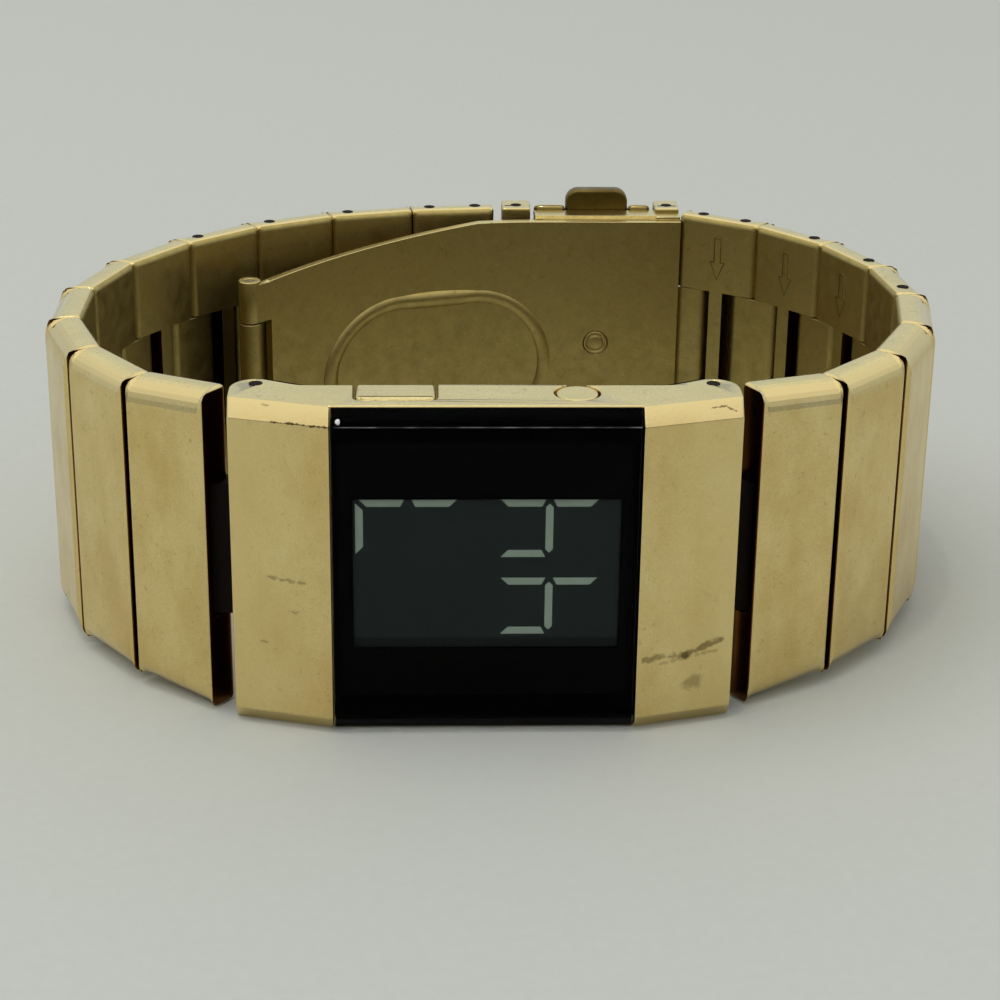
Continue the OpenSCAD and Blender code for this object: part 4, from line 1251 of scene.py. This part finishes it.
class WATCH_OT_close_back(bpy.types.Operator):
    """Close the case back and drive in its four screws"""

    bl_idname = "watch.close_back"
    bl_label = "Close Case Back"

    def execute(self, context):
        detail = context.scene.watch_detail
        dress("case_back", brushed_steel("brushed stainless steel", "#B4B2AB", 0.3), 0.08 * MM)
        low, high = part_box("case_back_screws")
        radius, height = detail.screw_radius, detail.screw_head
        places = [
            (x, high.y - height / 2, z)
            for x in (low.x + radius, high.x - radius)
            for z in (low.z + radius, high.z - radius)
        ]
        values = {
            "Head Radius": radius,
            "Head Height": height,
            "Slot Width": detail.screw_slot,
            "Finish": brushed_steel("turned screw steel", "#A7A59F", 0.22),
        }
        screws = settle(run_tree(point_piece("case_back_screw_heads", places), screw_tree(), values))
        stand_for(screws, "case_back_screws")
        return {"FINISHED"}


class WATCH_OT_wind_springs(bpy.types.Operator):
    """Wind the springs behind the pushers and the clasp buttons"""

    bl_idname = "watch.wind_springs"
    bl_label = "Wind Springs"

    def execute(self, context):
        tree = coil_tree()
        steel = brushed_steel("drawn spring steel", "#9C9A95", 0.25)
        wire = context.scene.watch_detail.spring_wire
        length = context.scene.watch_detail.latch_spring
        low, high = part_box("latch_springs")
        middle = (low + high) / 2
        latch = [(middle.x, middle.y, z) for z in (high.z - length / 2, low.z + length / 2)]
        self.wind("latch", latch, tree, 6.0, (high.y - low.y) / 2, length, wire, steel)
        low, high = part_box("pusher_springs")
        radius = (high.y - low.y) / 2
        middle = (low + high) / 2
        pusher = [(x, middle.y, middle.z) for x in (low.x + radius, high.x - radius)]
        self.wind("pusher", pusher, tree, 2.5, radius, high.z - low.z, wire, steel)
        return {"FINISHED"}

    def wind(self, kind, places, tree, turns, radius, length, wire, steel):
        """Winds a spring of an outer radius and a length at each of the places."""
        values = {
            "Turns": turns,
            "Coil Radius": radius - wire,
            "Wire Radius": wire,
            "Length": length - 2 * wire,
            "Finish": steel,
        }
        springs = settle(run_tree(point_piece(kind + "_coils", places), tree, values))
        stand_for(springs, kind + "_springs")


class WATCH_OT_light_stage(bpy.types.Operator):
    """Lay the floor, hang the lamps and set the camera at the photograph's angle"""

    bl_idname = "watch.light_stage"
    bl_label = "Light Stage"

    def execute(self, context):
        stage = context.scene.watch_stage
        self.lay_floor(stage.floor)
        self.hang_lamps()
        self.paint_room(context, stage.backdrop)
        self.set_camera(context, stage)
        context.scene.view_settings.view_transform = "Standard"
        return {"FINISHED"}

    def lay_floor(self, colour):
        half, level = 0.9, LENS_FOOT.z - 0.01 * MM
        corners = [(-half, -half), (half, -half), (half, half), (-half, half)]
        mesh = bpy.data.meshes.new("floor_board")
        mesh.from_pydata([(x, y, level) for x, y in corners], [], [(0, 1, 2, 3)])
        # Matt coated board: pale grey-green with a fine grain.
        shade = tuple(c * 0.965 for c in colour)
        cloud = {"size": 0.9 * MM, "span": NOISE_SPAN, "detail": 5.0, "roughness": 0.65}
        board, tree, shader = mottled("matt coated board", colour, shade, 0.85, **cloud)
        emboss(tree, shader, grain(tree, 0.6 * MM, detail=3.0), 0.15, 0.05 * MM)
        mesh.materials.append(board)
        place("floor_board", mesh)

    def hang_lamps(self):
        lamps = (
            ("window_light", (-0.28, -0.12, 0.8), 0.8, 3.4, "#FFFFFF"),
            ("ceiling_spot", (-0.12, -0.16, 0.9), 0.03, 0.45, "#FFF3DC"),
        )
        for name, spot, size, power, colour in lamps:
            lamp = bpy.data.lights.new(name, "AREA")
            lamp.shape = "SQUARE"
            lamp.size = size
            lamp.energy = power
            lamp.color = linear(colour)
            hung = place(name, lamp)
            hung.location = spot
            hung.rotation_euler = (-Vector(spot)).to_track_quat("-Z", "Y").to_euler()
            # The window's own square would blot out the bevels; the bright room stands for it in reflections.
            hung.visible_glossy = name != "window_light"

    def paint_room(self, context, colour):
        world = bpy.data.worlds.new("plain room")
        context.scene.world = world
        world.use_nodes = True
        tree = world.node_tree
        tree.nodes.clear()
        rays = tree.nodes.new("ShaderNodeLightPath").outputs
        seen = add_node(tree, "ShaderNodeMath", rays["Is Camera Ray"], rays["Is Glossy Ray"], operation="ADD")
        shown = add_node(
            tree, "ShaderNodeMath", seen, rays["Is Transmission Ray"], operation="ADD", use_clamp=True
        )
        light = add_node(tree, "ShaderNodeBackground", (0.94, 0.97, 1, 1), 0.62)
        # What metal reflects: dim towards the camera's side of the room, brightest overhead.
        direction = add_node(tree, "ShaderNodeTexCoord", out="Generated")
        sky = add_node(tree, "ShaderNodeSeparateXYZ", direction).node.outputs
        rear = add_node(tree, "ShaderNodeMapRange", sky["Y"], -0.8, 0.3, 0, 1)
        over = add_node(tree, "ShaderNodeMapRange", sky["Z"], 0.25, 0.8, 0, 1)
        dim = (*(c * 0.3 for c in colour), 1)
        walls = add_node(tree, "ShaderNodeMix", named={0: rear, 6: dim, 7: (*colour, 1)}, **COLOUR_MIX)
        shade = add_node(tree, "ShaderNodeMix", named={0: over, 6: walls, 7: (1, 1, 1, 1)}, **COLOUR_MIX)
        room = add_node(tree, "ShaderNodeBackground", shade)
        mixed = add_node(tree, "ShaderNodeMixShader", shown, light, room)
        add_node(tree, "ShaderNodeOutputWorld", mixed)

    def set_camera(self, context, stage):
        pitch, yaw, roll = stage.camera_turn
        forward = Vector(
            (math.sin(yaw) * math.cos(pitch), math.cos(yaw) * math.cos(pitch), -math.sin(pitch))
        )
        level = Vector((math.cos(yaw), -math.sin(yaw), 0))
        down = forward.cross(level)
        right = level * math.cos(roll) + down * math.sin(roll)
        up = level * math.sin(roll) - down * math.cos(roll)
        lens = bpy.data.cameras.new("picture_camera")
        lens.sensor_width = SENSOR
        lens.lens = SENSOR * stage.focal_pixels / IMAGE_SIZE
        lens.clip_start = 0.005
        camera = place("picture_camera", lens)
        turn = Matrix((right, up, -forward)).transposed().to_4x4()
        camera.matrix_world = Matrix.Translation(LENS_FOOT + Vector(stage.camera_place)) @ turn
        context.scene.camera = camera


OPERATORS = (
    WATCH_OT_plate_case,
    WATCH_OT_plate_links,
    WATCH_OT_join_links,
    WATCH_OT_finish_clasp,
    WATCH_OT_finish_buttons,
    WATCH_OT_glaze_lens,
    WATCH_OT_fit_display,
    WATCH_OT_fit_movement,
    WATCH_OT_close_back,
    WATCH_OT_wind_springs,
    WATCH_OT_light_stage,
)
SETTINGS = {
    "watch_plating": WatchPlating,
    "watch_links": WatchLinks,
    "watch_display": WatchDisplay,
    "watch_detail": WatchDetail,
    "watch_stage": WatchStage,
}


class WATCH_PT_pieces(bpy.types.Panel):
    """Lists the watch's pieces and their settings"""

    bl_label = "Digital Bracelet Watch"
    bl_idname = "WATCH_PT_pieces"
    bl_space_type = "VIEW_3D"
    bl_region_type = "UI"
    bl_category = "Watch"

    def draw(self, context):
        for name, group in SETTINGS.items():
            box = self.layout.box()
            for setting in group.__annotations__:
                box.prop(getattr(context.scene, name), setting)
        for operator in OPERATORS:
            self.layout.operator(operator.bl_idname)


CLASSES = (*SETTINGS.values(), *OPERATORS, WATCH_PT_pieces)


def register():
    for listed in CLASSES:
        bpy.utils.register_class(listed)
    for name, group in SETTINGS.items():
        setattr(bpy.types.Scene, name, bpy.props.PointerProperty(type=group))


def unregister():
    for name in SETTINGS:
        delattr(bpy.types.Scene, name)
    for listed in reversed(CLASSES):
        bpy.utils.unregister_class(listed)


def main():
    register()
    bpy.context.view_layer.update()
    for operator in OPERATORS:
        group, name = operator.bl_idname.split(".")
        getattr(getattr(bpy.ops, group), name)()
    bpy.context.view_layer.update()


if __name__ == "__main__":
    main()
